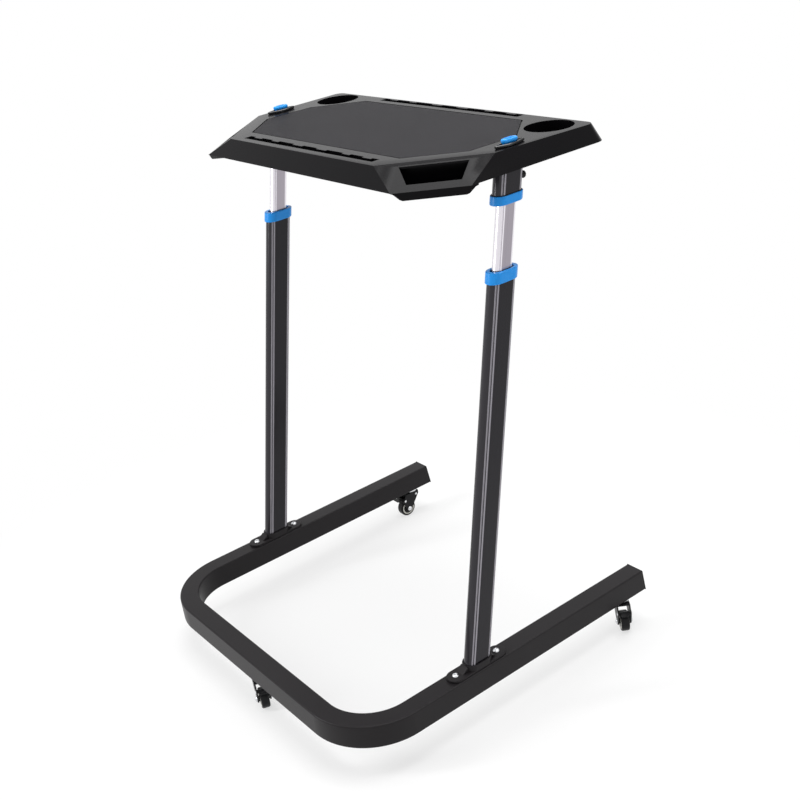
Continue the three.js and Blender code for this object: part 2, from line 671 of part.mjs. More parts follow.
// Lock shoe: the wedge presses it on the inside of the outer tube
function lockShoe(side) {
  const bottom = shoeBottom();
  const top = bottom + SHOE_HEIGHT;
  const faceAt = (z) => RELEASE_BACK + wedgeRadiusAt(z) + SEAT_GAP;
  const body = acrossX(outline([
    [faceAt(bottom), bottom], [OUTER_DEPTH, bottom], [OUTER_DEPTH, top], [faceAt(top), top],
  ]), SHOE_WIDTH).translate(-side * RELEASE_INBOARD, 0, 0);
  const bore = prism(outline(oval(OUTER_WIDTH, OUTER_DEPTH, -OUTER_WALL - SEAT_GAP)),
    bottom - CUT_OVERRUN, SHOE_HEIGHT + 2 * CUT_OVERRUN);
  return toGeometry(toSolid(body).intersect(toSolid(bore)));
}

// Release rod with its wedge at the foot and the flange that the spring pushes on
function releaseRod(side) {
  const foot = shoeBottom() - TAB_PULL;
  const wide = shoeBottom() + SHOE_HEIGHT;
  const top = rodTop();
  const flange = ROD_FLANGE_HEIGHT;
  return turned([
    [0, foot], [wedgeRadiusAt(foot), foot], [WEDGE_RADIUS, wide],
    [WEDGE_RADIUS, wide + WEDGE_SHOULDER], [ROD_RADIUS, wide + WEDGE_SHOULDER],
    [ROD_RADIUS, flange], [ROD_FLANGE_RADIUS, flange],
    [ROD_FLANGE_RADIUS, flange + ROD_FLANGE_THICKNESS], [ROD_RADIUS, flange + ROD_FLANGE_THICKNESS],
    [ROD_RADIUS, top], [0, top],
  ], HOLE_STEPS).translate(-side * RELEASE_INBOARD, RELEASE_BACK, 0);
}

const bezelFloorZ = () => TABLE_UNDERSIDE + 2 * SEAT_GAP;
const tabBottomZ = () => bezelFloorZ() + BEZEL_FLOOR + SEAT_GAP;
const rodTop = () => alongPost(tabBottomZ() + ROD_BITE) + RELEASE_BACK * Math.tan(LEAN);

// Least gap of a round tube to itself, between points at least some steps apart on its path
function leastGap(path, steps, apart, radius) {
  const points = Array.from({ length: steps + 1 }, (_, i) => path.getPoint(i / steps));
  const gaps = points.flatMap((point, i) => (
    points.slice(i + apart).map((other) => point.distanceTo(other) - 2 * radius)));
  return Math.min(...gaps);
}

// Return spring round the rod, between its flange and the bracket
function returnSpring(side) {
  class Helix extends THREE.Curve {
    getPoint(t, target = new THREE.Vector3()) {
      const angle = t * SPRING_TURNS * 2 * Math.PI;
      const radius = SPRING_MEAN_RADIUS;
      return target.set(radius * Math.cos(angle), radius * Math.sin(angle), t * SPRING_LENGTH);
    }
  }
  const path = new Helix();
  const steps = SPRING_TURNS * SPRING_TURN_STEPS;
  const wire = outline(arc([0, 0], SPRING_WIRE_RADIUS, 0, 360 - 360 / SPRING_SIDES, SPRING_SIDES - 1));
  const coil = new THREE.ExtrudeGeometry(wire, { steps, bevelEnabled: false, extrudePath: path });
  const gap = leastGap(path, steps, SPRING_TURN_STEPS / 2, SPRING_WIRE_RADIUS);
  console.log(`return spring: least gap between its turns ${gap.toFixed(2)} mm`);
  return coil.translate(-side * RELEASE_INBOARD, RELEASE_BACK, SPRING_START);
}

// The point where the release rod meets a level, in the desk's frame
function releasePoint(side, z) {
  const back = RELEASE_BACK / Math.cos(LEAN);
  return [side * (LEG_X - RELEASE_INBOARD), postYAt(z) + back];
}

// Boat-shaped outline of the latch bezel and its pocket
function boat(length, width) {
  const shoulderShare = 0.3;
  const tipShare = 0.16;
  const x = width / 2;
  const y = length / 2;
  return outline([
    [x, -y * shoulderShare], [x, y * shoulderShare], [x * tipShare, y], [-x * tipShare, y],
    [-x, y * shoulderShare], [-x, -y * shoulderShare], [-x * tipShare, -y], [x * tipShare, -y],
  ]);
}

// Cutting rod along a post's axis where the release rod passes, in the desk's frame
function releaseBore(side, radius) {
  const start = OUTER_LENGTH;
  const bore = rod(radius, start, OUTER_LENGTH).translate(-side * RELEASE_INBOARD, RELEASE_BACK, 0);
  return bore.applyMatrix4(postFrame(side));
}

function latchBezel(side) {
  const [x, y] = releasePoint(side, TABLE_HEIGHT);
  const floor = bezelFloorZ();
  const top = TABLE_HEIGHT + SEAT_GAP + BEZEL_STAND;
  const over = CUT_OVERRUN;
  const neck = prism(boat(BEZEL_LENGTH - 2 * BEZEL_LIP, BEZEL_WIDTH - 2 * BEZEL_LIP), floor, top - floor);
  const rim = prism(boat(BEZEL_LENGTH, BEZEL_WIDTH), TABLE_HEIGHT + SEAT_GAP, BEZEL_STAND, BEZEL_EDGE);
  const inner = BEZEL_LIP + BEZEL_RIM / 2;
  const pocket = prism(boat(BEZEL_LENGTH - 2 * inner, BEZEL_WIDTH - 2 * inner), floor + BEZEL_FLOOR,
    top - floor + over);
  const placed = [neck, rim, pocket].map((piece) => piece.translate(x, y, 0));
  return cut(join(placed[0], placed[1]), placed[2], releaseBore(side, ROD_RADIUS + RUN_GAP));
}

// Blue pull tab with rounded ends and a rounded crown
function latchTab(side) {
  const [x, y] = releasePoint(side, TABLE_HEIGHT);
  const z = tabBottomZ();
  const height = TABLE_HEIGHT + TAB_STAND - z;
  const inset = 2 * TAB_STEM_INSET;
  const stem = prism(outline(oval(TAB_WIDTH - inset, TAB_LENGTH - inset)), z, height);
  const crownBottom = TABLE_HEIGHT + 2 * SEAT_GAP + BEZEL_STAND;
  const crown = prism(outline(oval(TAB_WIDTH, TAB_LENGTH)), crownBottom, z + height - crownBottom,
    TAB_EDGE);
  const body = join(stem, crown).translate(x, y, 0);
  const hole = rod(ROD_RADIUS + SEAT_GAP, rodTop() - OUTER_WIDTH, OUTER_WIDTH + SEAT_GAP);
  hole.translate(-side * RELEASE_INBOARD, RELEASE_BACK, 0).applyMatrix4(postFrame(side));
  return cut(body, hole);
}

// Bracket between a sleeve and the table, with a plug in the sleeve's bore
function tableBracket(side) {
  const y = postYAt(BRACKET_TOP);
  const half = BRACKET_DEPTH / 2;
  const body = block(
    side * LEG_X - (side > 0 ? BRACKET_INBOARD : BRACKET_OUTBOARD),
    side * LEG_X + (side > 0 ? BRACKET_OUTBOARD : BRACKET_INBOARD),
    y - half, y + half, BRACKET_BOTTOM, BRACKET_TOP);
  const frame = postFrame(side);
  const long = OUTER_LENGTH;
  const reach = 2 * long;
  const level = (z0, z1) => block(-reach, reach, -reach, reach, z0, z1);
  const plug = cut(
    prism(outline(oval(OUTER_WIDTH, OUTER_DEPTH, -OUTER_WALL - SEAT_GAP)), long, long).applyMatrix4(frame),
    level(0, BRACKET_BOTTOM - BRACKET_PLUG_LENGTH), level(BRACKET_BOTTOM + SEAT_GAP, TABLE_HEIGHT * 2));
  const pocket = cut(
    prism(outline(oval(INNER_WIDTH, INNER_DEPTH, SEAT_GAP)), long - CUT_OVERRUN, long)
      .applyMatrix4(frame),
    level(INNER_TOP + SEAT_GAP, TABLE_HEIGHT * 2));
  const holes = screwPlaces(side).map(([sx, sy]) => (
    rod(SCREW_SHANK_RADIUS + SEAT_GAP, BRACKET_BOTTOM - CUT_OVERRUN, BRACKET_HEIGHT + 2 * CUT_OVERRUN)
      .translate(sx, sy, 0)));
  return cut(join(body, plug), pocket, releaseBore(side, ROD_RADIUS + RUN_GAP), ...holes);
}

function screwPlaces(side) {
  const y = postYAt(BRACKET_TOP);
  const reach = BRACKET_DEPTH / 2 - SCREW_INSET;
  const x = side * (LEG_X - BRACKET_INBOARD + SCREW_INSET);
  return [[x, y - reach], [x, y + reach]];
}

function bracketScrew() {
  const bottom = BRACKET_BOTTOM - SEAT_GAP;
  const tip = TABLE_UNDERSIDE + SCREW_BITE;
  return turned([
    [0, bottom - SCREW_HEAD_HEIGHT], [SCREW_HEAD_RADIUS, bottom - SCREW_HEAD_HEIGHT],
    [SCREW_HEAD_RADIUS, bottom], [SCREW_SHANK_RADIUS, bottom], [SCREW_SHANK_RADIUS, tip], [0, tip],
  ], HOLE_STEPS);
}

// Table

// Outline of the table at its top plate, counter-clockwise from the right grip
function tableTopOutline() {
  const x = TABLE_TOP_WIDTH / 2;
  const r = TABLE_BACK_CORNER;
  const right = [
    [x - GRIP_TOP_X, TABLE_FRONT_Y],
    [x, TABLE_FRONT_Y + GRIP_TOP_Y],
    ...arc([x + TABLE_BACK_SPREAD - r, TABLE_BACK_Y - r], r, 0, 90, NOSE_STEPS / 2),
  ];
  return [...right, ...mirrored(right)];
}

// Outline of the table at the lower rim of its skirt
function tableRimOutline() {
  const x = TABLE_WIDTH / 2;
  const front = TABLE_FRONT_Y - TABLE_SKIRT_FLARE;
  const back = TABLE_BACK_Y + TABLE_SKIRT_FLARE;
  const r = TABLE_RIM_CORNER;
  const at = gripPoint();
  const [[px, py], [qx, qy]] = [at(0, GRIP_FLARE), at(1, GRIP_FLARE)];
  const right = [
    [px + (front - py) * (qx - px) / (qy - py), front],
    [x, py + (x - px) * (qy - py) / (qx - px)],
    ...arc([x - r, back - r], r, 0, 90, NOSE_STEPS / 2),
  ];
  return [...right, ...mirrored(right)];
}

function blend(lower, upper, share) {
  return lower.map(([x, y], i) => [x + (upper[i][0] - x) * share, y + (upper[i][1] - y) * share]);
}

// Points by their reach along the right-hand grip's top edge and out from it
function gripPoint() {
  const [start, end] = tableTopOutline();
  const length = Math.hypot(end[0] - start[0], end[1] - start[1]);
  const along = [(end[0] - start[0]) / length, (end[1] - start[1]) / length];
  const middle = [(start[0] + end[0]) / 2, (start[1] + end[1]) / 2];
  return (reach, outwards) => [
    middle[0] + along[0] * reach + along[1] * outwards,
    middle[1] + along[1] * reach - along[0] * outwards];
}

// Quadrilateral in the grip's own directions: its outer side, then its inner side
function gripQuad(length, outer, inner) {
  const at = gripPoint();
  const half = length / 2;
  return [at(-half, outer), at(half, outer), at(half, inner), at(-half, inner)];
}

// Height of the sloping face at a reach out from the grip's top edge, and the other way round
const gripFaceZ = (outwards) => TABLE_HEIGHT - TABLE_SKIRT_HEIGHT * outwards / GRIP_FLARE;
const gripFaceReach = (z) => (TABLE_HEIGHT - z) * GRIP_FLARE / TABLE_SKIRT_HEIGHT;

// Pocket behind the right-hand grip: its belly hangs below the rim and ends in an upright lip
function gripPocket(outer) {
  const low = TABLE_RIM_Z - GRIP_DROP;
  const levels = Array.from({ length: GRIP_END_STEPS + 1 }, (_, i) => {
    const share = i / GRIP_END_STEPS;
    const length = THREE.MathUtils.lerp(GRIP_LOW_LENGTH, GRIP_MID_LENGTH, share);
    const rise = THREE.MathUtils.smoothstep(share, 0, 1);
    return [gripQuad(length, GRIP_FLARE, -GRIP_BACK), low + GRIP_DROP * rise];
  });
  const [mid] = levels[GRIP_END_STEPS];
  const throat = loft(mid, TABLE_RIM_Z - SEAT_GAP, mid, TABLE_UNDERSIDE + SEAT_GAP);
  return join(lofted(levels), toGeometry(toSolid(throat).intersect(toSolid(outer))));
}

// Space inside the pocket: a chamber in the belly, and above it a wall behind the sloping face
function gripHollow() {
  const wall = GRIP_WALL;
  const wallAcross = wall * Math.hypot(GRIP_FLARE, TABLE_SKIRT_HEIGHT) / TABLE_SKIRT_HEIGHT;
  const floor = TABLE_RIM_Z - GRIP_DROP + wall;
  const ceiling = gripFaceZ(GRIP_FLARE - wall + wallAcross);
  const roof = TABLE_UNDERSIDE - wall;
  const section = (length, outer) => gripQuad(length, outer, wall - GRIP_BACK);
  const behind = (z) => section(GRIP_WINDOW_TOP_LENGTH, gripFaceReach(z) - wallAcross);
  const low = section(GRIP_LOW_LENGTH - 2 * wall, GRIP_FLARE - wall);
  return lofted([[low, floor], [behind(ceiling), ceiling], [behind(roof), roof]]);
}

// Window through the sloping face in front of the pocket
function gripWindow() {
  const at = gripPoint();
  const far = GRIP_WINDOW_LOW_LENGTH / 2;
  const near = GRIP_WINDOW_TOP_LENGTH / 2;
  const shape = outline([
    at(-far, GRIP_WINDOW_FAR), at(far, GRIP_WINDOW_FAR),
    at(near, GRIP_WINDOW_NEAR), at(-near, GRIP_WINDOW_NEAR),
  ]);
  return prism(shape, gripFaceZ(GRIP_WINDOW_FAR) - GRIP_WALL, TABLE_SKIRT_HEIGHT + CUT_OVERRUN);
}

const flipX = (geometry) => {
  const copy = toSolid(geometry).mirror([1, 0, 0]);
  return toGeometry(copy);
};

// Joined with its mirror image, a twisted side comes out alike on both hands
const evened = (geometry) => join(geometry, flipX(geometry));

function matOutline(gap) {
  const side = TABLE_TOP_WIDTH / 2 - MAT_SIDE_MARGIN;
  const front = TABLE_FRONT_Y + MAT_FRONT_MARGIN;
  const back = TABLE_BACK_Y - MAT_BACK_MARGIN;
  const right = [
    [side - MAT_CORNER_WIDTH, front],
    [side, front + MAT_FRONT_CORNER],
    [side, back - MAT_BACK_CORNER],
    [side - MAT_CORNER_WIDTH, back],
  ];
  return outline(inset([...right, ...mirrored(right)], gap));
}

// Device slot: a groove with a straight near side and notches on its far side
function slotTrough(near) {
  const half = SLOT_LENGTH / 2 + SLOT_WALL;
  return block(-half, half, near - SLOT_WALL, near + SLOT_NOTCH_WIDTH + SLOT_WALL,
    TABLE_HEIGHT - SLOT_DEPTH - SLOT_WALL, TABLE_UNDERSIDE + SEAT_GAP);
}

function slotCuts(near) {
  const half = SLOT_LENGTH / 2;
  const bottom = TABLE_HEIGHT - SLOT_DEPTH;
  const top = TABLE_HEIGHT + CUT_OVERRUN;
  const [middle, ...others] = SLOT_NOTCH_SHARES;
  const notches = [middle, ...others, ...others.map(([from, to]) => [-to, -from])];
  return [
    block(-half, half, near, near + SLOT_WIDTH, bottom, top),
    ...notches.map(([from, to]) => (
      block(half * from, half * to, near, near + SLOT_NOTCH_WIDTH, bottom, top))),
  ];
}

function tabletop() {
  const top = tableTopOutline();
  const rim = tableRimOutline();
  const outer = evened(loft(rim, TABLE_RIM_Z, top, TABLE_HEIGHT));
  const innerTop = inset(blend(top, rim, TABLE_PLATE / TABLE_SKIRT_HEIGHT), TABLE_WALL);
  const innerRim = inset(rim, TABLE_WALL);
  const below = CUT_OVERRUN / TABLE_SKIRT_HEIGHT;
  const hollow = evened(loft(blend(innerRim, innerTop, -below), TABLE_RIM_Z - CUT_OVERRUN, innerTop,
    TABLE_UNDERSIDE));
  const shell = cut(outer, hollow);
  const wells = SIDES.map(([, side]) => (
    rod(CUP_RADIUS + CUP_WALL, TABLE_HEIGHT - CUP_DEPTH - CUP_WALL, CUP_DEPTH + CUP_WALL - SEAT_GAP,
      CUP_STEPS).translate(side * CUP_X, CUP_Y, 0)));
  const slots = [SLOT_FRONT_Y, SLOT_BACK_Y];
  const pocket = gripPocket(outer);
  const body = join(shell, ...wells, ...slots.map(slotTrough), pocket, flipX(pocket));
  const cups = SIDES.map(([, side]) => (
    rod(CUP_RADIUS, TABLE_HEIGHT - CUP_DEPTH, CUP_DEPTH + CUT_OVERRUN, CUP_STEPS)
      .translate(side * CUP_X, CUP_Y, 0)));
  const bezels = SIDES.map(([, side]) => {
    const [x, y] = releasePoint(side, TABLE_HEIGHT);
    const lip = BEZEL_LIP - SEAT_GAP;
    const shape = boat(BEZEL_LENGTH - 2 * lip, BEZEL_WIDTH - 2 * lip);
    return prism(shape, TABLE_UNDERSIDE - CUT_OVERRUN, TABLE_PLATE + 2 * CUT_OVERRUN).translate(x, y, 0);
  });
  const screws = SIDES.flatMap(([, side]) => screwPlaces(side).map(([x, y]) => (
    rod(SCREW_SHANK_RADIUS + SEAT_GAP, TABLE_UNDERSIDE - CUT_OVERRUN, CUT_OVERRUN + SCREW_BITE + SEAT_GAP)
      .translate(x, y, 0))));
  const recess = prism(matOutline(0), TABLE_HEIGHT - MAT_RECESS, MAT_RECESS + CUT_OVERRUN);
  const grips = [gripHollow(), gripWindow()];
  return cut(body, ...cups, ...bezels, ...screws, recess, ...slots.flatMap(slotCuts), ...grips,
    ...grips.map(flipX));
}

const mat = () => prism(matOutline(SEAT_GAP), TABLE_HEIGHT - MAT_RECESS + SEAT_GAP, MAT_THICKNESS);

// Casters, drawn about their own swivel axis with the floor at z = 0; the wheel trails towards -Y

function casterStem() {
  const raceBottom = FORK_CROWN_HEIGHT + SEAT_GAP;
  const flangeTop = BASE_CLEARANCE - SEAT_GAP;
  const flangeBottom = flangeTop - STEM_FLANGE;
  const headTop = FORK_CROWN_HEIGHT - FORK_PLATE - SEAT_GAP;
  return turned([
    [0, headTop - STEM_HEAD], [STEM_HEAD_RADIUS, headTop - STEM_HEAD], [STEM_HEAD_RADIUS, headTop],
    [STEM_PIN_RADIUS, headTop], [STEM_PIN_RADIUS, raceBottom], [STEM_RACE_RADIUS, raceBottom],
    [STEM_FLANGE_RADIUS, flangeBottom], [STEM_FLANGE_RADIUS, flangeTop],
    [STEM_THREAD_RADIUS, flangeTop], [STEM_THREAD_RADIUS, flangeTop + STEM_THREAD_LENGTH],
    [0, flangeTop + STEM_THREAD_LENGTH],
  ], ROUND_STEPS);
}

function forkCheek() {
  const [ay, az] = [-FORK_TRAIL, WHEEL_RADIUS];
  const lobe = FORK_AXLE_LOBE;
  const pivotLobe = PEDAL_PIN_RADIUS * 3;
  const pivot = [-PEDAL_PIVOT_BACK, PEDAL_PIVOT_HEIGHT];
  const [pivotFrom, pivotTo] = [90, 200];
  const [axleFrom, axleTo] = [190, 350];
  return outline([
    [FORK_CROWN_FRONT, FORK_CROWN_HEIGHT],
    [-FORK_CROWN_BACK, FORK_CROWN_HEIGHT],
    ...arc(pivot, pivotLobe, pivotFrom, pivotTo, NOSE_STEPS / 2),
    ...arc([ay, az], lobe, axleFrom, axleTo, NOSE_STEPS / 2),
    [FORK_CROWN_FRONT, FORK_CROWN_HEIGHT - lobe],
  ]);
}

function casterFork() {
  const half = FORK_INNER_WIDTH / 2 + FORK_PLATE;
  const cheek = (side) => acrossX(forkCheek(), FORK_PLATE)
    .translate(side * (half - FORK_PLATE / 2), 0, 0);
  const crown = block(-half, half, -FORK_CROWN_BACK, FORK_CROWN_FRONT,
    FORK_CROWN_HEIGHT - FORK_PLATE, FORK_CROWN_HEIGHT);
  const crossBore = (radius, y, z) => rod(radius, -BASE_TUBE_WIDTH, 2 * BASE_TUBE_WIDTH)
    .rotateY(Math.PI / 2).translate(0, y, z);
  return cut(join(cheek(-1), cheek(1), crown),
    rod(STEM_PIN_RADIUS + SEAT_GAP, 0, BASE_TOP, ROUND_STEPS),
    crossBore(AXLE_RADIUS + SEAT_GAP, -FORK_TRAIL, WHEEL_RADIUS),
    crossBore(PEDAL_PIN_RADIUS + SEAT_GAP, -PEDAL_PIVOT_BACK, PEDAL_PIVOT_HEIGHT));
}

// Axle bolt through both cheeks, along X
function casterAxle() {
  const half = FORK_INNER_WIDTH / 2 + FORK_PLATE + SEAT_GAP;
  const end = half + AXLE_HEAD_LENGTH;
  const crown = end - AXLE_HEAD_LENGTH / 2;
  return turned([
    [0, -end], [AXLE_HEAD_RADIUS / 2, -end], [AXLE_HEAD_RADIUS, -crown], [AXLE_HEAD_RADIUS, -half],
    [AXLE_RADIUS, -half], [AXLE_RADIUS, half], [AXLE_HEAD_RADIUS, half], [AXLE_HEAD_RADIUS, crown],
    [AXLE_HEAD_RADIUS / 2, end], [0, end],
  ], HOLE_STEPS).rotateY(Math.PI / 2).translate(0, -FORK_TRAIL, WHEEL_RADIUS);
}

function casterWheel() {
  const half = WHEEL_WIDTH / 2;
  const bore = AXLE_RADIUS + RUN_GAP;
  const hub = AXLE_HEAD_RADIUS;
  const hubHalf = FORK_INNER_WIDTH / 2 - RUN_GAP;
  const face = (sign) => [
    [bore, sign * hubHalf], [hub, sign * hubHalf], [hub, sign * half],
    [WHEEL_RADIUS - WHEEL_EDGE, sign * half], [WHEEL_RADIUS, sign * (half - WHEEL_EDGE)],
  ];
  return turned([...face(-1), ...face(1).reverse(), [bore, -hubHalf]])
    .rotateY(Math.PI / 2).translate(0, -FORK_TRAIL, WHEEL_RADIUS);
}

// Brake pedal on a cross pin; pressing its pad turns the cam towards the wheel
function brakePedal() {
  const pivot = [-PEDAL_PIVOT_BACK, PEDAL_PIVOT_HEIGHT];
  const [py, pz] = pivot;
  const thick = PEDAL_THICKNESS;
  const padEnd = py - PEDAL_LENGTH;
  const bendShare = 0.3;
  const bend = py - PEDAL_LENGTH * bendShare;
  const pad = acrossX(outline([
    [py, pz + PEDAL_HUB_RADIUS], [py, pz - PEDAL_HUB_RADIUS / 2],
    [bend, pz + PEDAL_RISE - thick], [padEnd, pz + PEDAL_RISE], [padEnd, pz + PEDAL_RISE + thick],
    [bend, pz + PEDAL_RISE],
  ].reverse()), PEDAL_WIDTH);
  const cross = (radius, length, y, z) => rod(radius, -length / 2, length)
    .rotateY(Math.PI / 2).translate(0, y, z);
  const inner = FORK_INNER_WIDTH - 2 * SEAT_GAP;
  return join(
    pad,
    cross(PEDAL_HUB_RADIUS, inner, py, pz),
    cross(PEDAL_PIN_RADIUS, FORK_INNER_WIDTH + 2 * FORK_PLATE, py, pz),
    cross(PEDAL_CAM_RADIUS, WHEEL_WIDTH, py - PEDAL_CAM_REACH, pz));
}

// Assembly

const desk = new THREE.Group();

function place(parent, name, geometry, finish) {
  const mesh = new THREE.Mesh(geometry, new THREE.MeshStandardMaterial(MATERIALS[finish]));
  mesh.name = name;
  parent.add(mesh);
  return mesh;
}

place(desk, 'base_frame', baseFrame(), 'powderCoat');

for (const [name, side] of SIDES) {
  place(desk, `${name}_leg_end_cap`, endCap(), 'blackPlastic').position.x = side * LEG_X;
  const foot = place(desk, `${name}_foot_bracket`, footBracket(), 'powderCoat');
  foot.position.set(side * LEG_X, POST_FOOT_Y, BASE_TOP);
  for (const [where, end] of [['front', -1], ['back', 1]]) {
    const bolt = place(desk, `${name}_foot_bolt_${where}`, domeBolt(), 'zinc');
    bolt.position.set(side * LEG_X, POST_FOOT_Y + end * FOOT_BOLT_REACH,
      BASE_TOP + SEAT_GAP + FOOT_PLATE);
  }

  const post = new THREE.Group();
  post.applyMatrix4(postFrame(side));
  desk.add(post);
  place(post, `${name}_outer_tube`, outerTube(), 'blackTube');
  place(post, `${name}_lower_collar`, lowerCollar(), 'bluePlastic');
  place(post, `${name}_inner_tube`, innerTube(), 'aluminium');
  place(post, `${name}_slide_guide`, slideGuide(side), 'nylon');
  place(post, `${name}_lock_shoe`, lockShoe(side), 'nylon');
  place(post, `${name}_release_rod`, releaseRod(side), 'zinc');
  place(post, `${name}_return_spring`, returnSpring(side), 'zinc');
  place(post, `${name}_upper_sleeve`, sleeve(), 'blackTube');
  place(post, `${name}_upper_collar`, upperCollar(), 'bluePlastic');
  place(post, `${name}_clamp_knob`, clampKnob(), 'blackPlastic');

  place(desk, `${name}_table_bracket`, tableBracket(side), 'blackPlastic');
  place(desk, `${name}_latch_bezel`, latchBezel(side), 'blackPlastic');
  place(desk, `${name}_latch_tab`, latchTab(side), 'bluePlastic');
  screwPlaces(side).forEach(([x, y], i) => {
    place(desk, `${name}_bracket_screw_${i + 1}`, bracketScrew(), 'zinc').position.set(x, y, 0);
  });
}

place(desk, 'tabletop', tabletop(), 'moulding');
place(desk, 'desk_mat', mat(), 'mat');

for (const [name, [x, y]] of Object.entries(casterStations())) {
  const caster = new THREE.Group();
  caster.position.set(x, y, 0);
  caster.rotation.z = THREE.MathUtils.degToRad(CASTER_TURNS[name]);
  desk.add(caster);
  place(caster, `${name}_caster_stem`, casterStem(), 'zinc');
  place(caster, `${name}_caster_fork`, casterFork(), 'blackPlastic');
  place(caster, `${name}_caster_axle`, casterAxle(), 'zinc');
  place(caster, `${name}_caster_wheel`, casterWheel(), 'tyre');
  place(caster, `${name}_brake_pedal`, brakePedal(), 'blackPlastic');
}

export default desk;
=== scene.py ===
import json
import math

import bmesh
import bpy
from mathutils import Matrix, Vector


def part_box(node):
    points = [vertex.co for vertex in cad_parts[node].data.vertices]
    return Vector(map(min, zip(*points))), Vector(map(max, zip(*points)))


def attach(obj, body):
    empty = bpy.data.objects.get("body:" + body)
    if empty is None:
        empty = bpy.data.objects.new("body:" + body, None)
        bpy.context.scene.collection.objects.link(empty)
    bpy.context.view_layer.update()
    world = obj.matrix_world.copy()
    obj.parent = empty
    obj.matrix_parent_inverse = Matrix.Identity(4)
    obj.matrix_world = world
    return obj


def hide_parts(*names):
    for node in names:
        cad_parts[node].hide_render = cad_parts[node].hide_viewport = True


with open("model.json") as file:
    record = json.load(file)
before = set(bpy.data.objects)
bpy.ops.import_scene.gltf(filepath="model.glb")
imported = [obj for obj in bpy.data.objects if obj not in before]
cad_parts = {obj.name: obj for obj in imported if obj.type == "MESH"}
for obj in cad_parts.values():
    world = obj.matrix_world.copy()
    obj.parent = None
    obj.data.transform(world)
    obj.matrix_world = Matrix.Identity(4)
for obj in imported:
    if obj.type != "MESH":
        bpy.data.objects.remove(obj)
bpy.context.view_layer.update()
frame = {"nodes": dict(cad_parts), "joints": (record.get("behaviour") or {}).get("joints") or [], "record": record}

# Camera, light and floor: a white photographer's table, with a tall soft light in
# front on the left, a weak one behind on the right and a wide one above. The
# camera stands at the front right and looks down on the desk.
CAMERA_PLACE = Vector((1.85407, -1.18219, 1.54752))
CAMERA_RIGHT = Vector((0.6073, 0.78399, -0.12862))
CAMERA_UP = Vector((-0.26049, 0.34944, 0.90002))
CAMERA_LENS = 53.4
CAMERA_REACH = 60.0
SENSOR = 36.0
WHITE = (1.0, 1.0, 1.0)
FLOOR_COLOUR = (0.9, 0.9, 0.9)
FLOOR_SIZE = 9.0
FLOOR_SHADOW = 0.4
SHADOW_NEAR, SHADOW_FAR = 0.45, 1.25
AMBIENT = 0.5


def aimed(place, right, up):
    """A matrix that looks along its own -Z, with the given sides."""
    right, up = right.normalized(), up.normalized()
    back = right.cross(up).normalized()
    turn = Matrix((right, back.cross(right), back)).transposed().to_4x4()
    return Matrix.Translation(place) @ turn


class Wire:
    """One output of a shader node, which takes part in sums."""

    def __init__(self, finish, socket):
        self.finish, self.socket = finish, socket

    def sum(self, operation, other=0.0, swap=False):
        pair = [other, self] if swap else [self, other]
        return self.finish.node(
            "ShaderNodeMath", {"operation": operation}, {0: pair[0], 1: pair[1]}
        )

    def __add__(self, other):
        return self.sum("ADD", other)

    def __mul__(self, other):
        return self.sum("MULTIPLY", other)

    def __sub__(self, other):
        return self.sum("SUBTRACT", other)

    def __rsub__(self, other):
        return self.sum("SUBTRACT", other, swap=True)

    __radd__ = __add__
    __rmul__ = __mul__


class Finish:
    """A tree of shader nodes, of a new material or of the room."""

    def __init__(self, name, tree=None):
        self.material = None
        if tree is None:
            self.material = bpy.data.materials.new(name)
            self.material.use_nodes = True
            tree = self.material.node_tree
        self.tree = tree
        tree.nodes.clear()

    def node(self, kind, settings=None, sockets=None, output=0):
        made = self.tree.nodes.new(kind)
        for key, value in (settings or {}).items():
            setattr(made, key, value)
        for key, value in (sockets or {}).items():
            if isinstance(value, Wire):
                self.tree.links.new(value.socket, made.inputs[key])
            else:
                made.inputs[key].default_value = value
        return Wire(self, made.outputs[output])

    def seen(self):
        """1 where the camera sees the surface, straight or in metal or glass."""
        rays = ["Is Camera Ray", "Is Glossy Ray", "Is Transmission Ray"]
        straight, mirrored, through = [
            self.node("ShaderNodeLightPath", output=ray) for ray in rays
        ]
        return straight + mirrored + through

    def end(self, shader, kind="ShaderNodeOutputMaterial"):
        made = self.tree.nodes.new(kind)
        self.tree.links.new(shader.socket, made.inputs["Surface"])
        return self.material


camera = bpy.data.objects.new("camera", bpy.data.cameras.new("camera"))
bpy.context.scene.collection.objects.link(camera)
camera.matrix_world = aimed(CAMERA_PLACE, CAMERA_RIGHT, CAMERA_UP)
camera.data.lens, camera.data.sensor_width = CAMERA_LENS, SENSOR
camera.data.clip_end = CAMERA_REACH
bpy.context.scene.camera = camera
bpy.context.scene.view_settings.view_transform = "Standard"

room = bpy.data.worlds.new("room")
room.use_nodes = True
bpy.context.scene.world = room
air = Finish("room", room.node_tree)
lit, white = [
    air.node("ShaderNodeBackground", None, {"Color": (*WHITE, 1.0), "Strength": strength})
    for strength in (AMBIENT, 1.0)
]
air.end(
    air.node("ShaderNodeMixShader", None, {0: air.seen(), 1: lit, 2: white}),
    "ShaderNodeOutputWorld",
)


def soft_light(name, place, target, size, power):
    """A rectangular lamp that faces a target, with its width, height and watts."""
    lamp = bpy.data.lights.new(name, "AREA")
    lamp.shape, lamp.size, lamp.size_y = "RECTANGLE", size[0], size[1]
    lamp.energy = power
    holder = bpy.data.objects.new(name, lamp)
    bpy.context.scene.collection.objects.link(holder)
    back = (Vector(place) - Vector(target)).normalized()
    side = Vector((0, 0, 1)).cross(back).normalized()
    holder.matrix_world = aimed(Vector(place), side, back.cross(side))


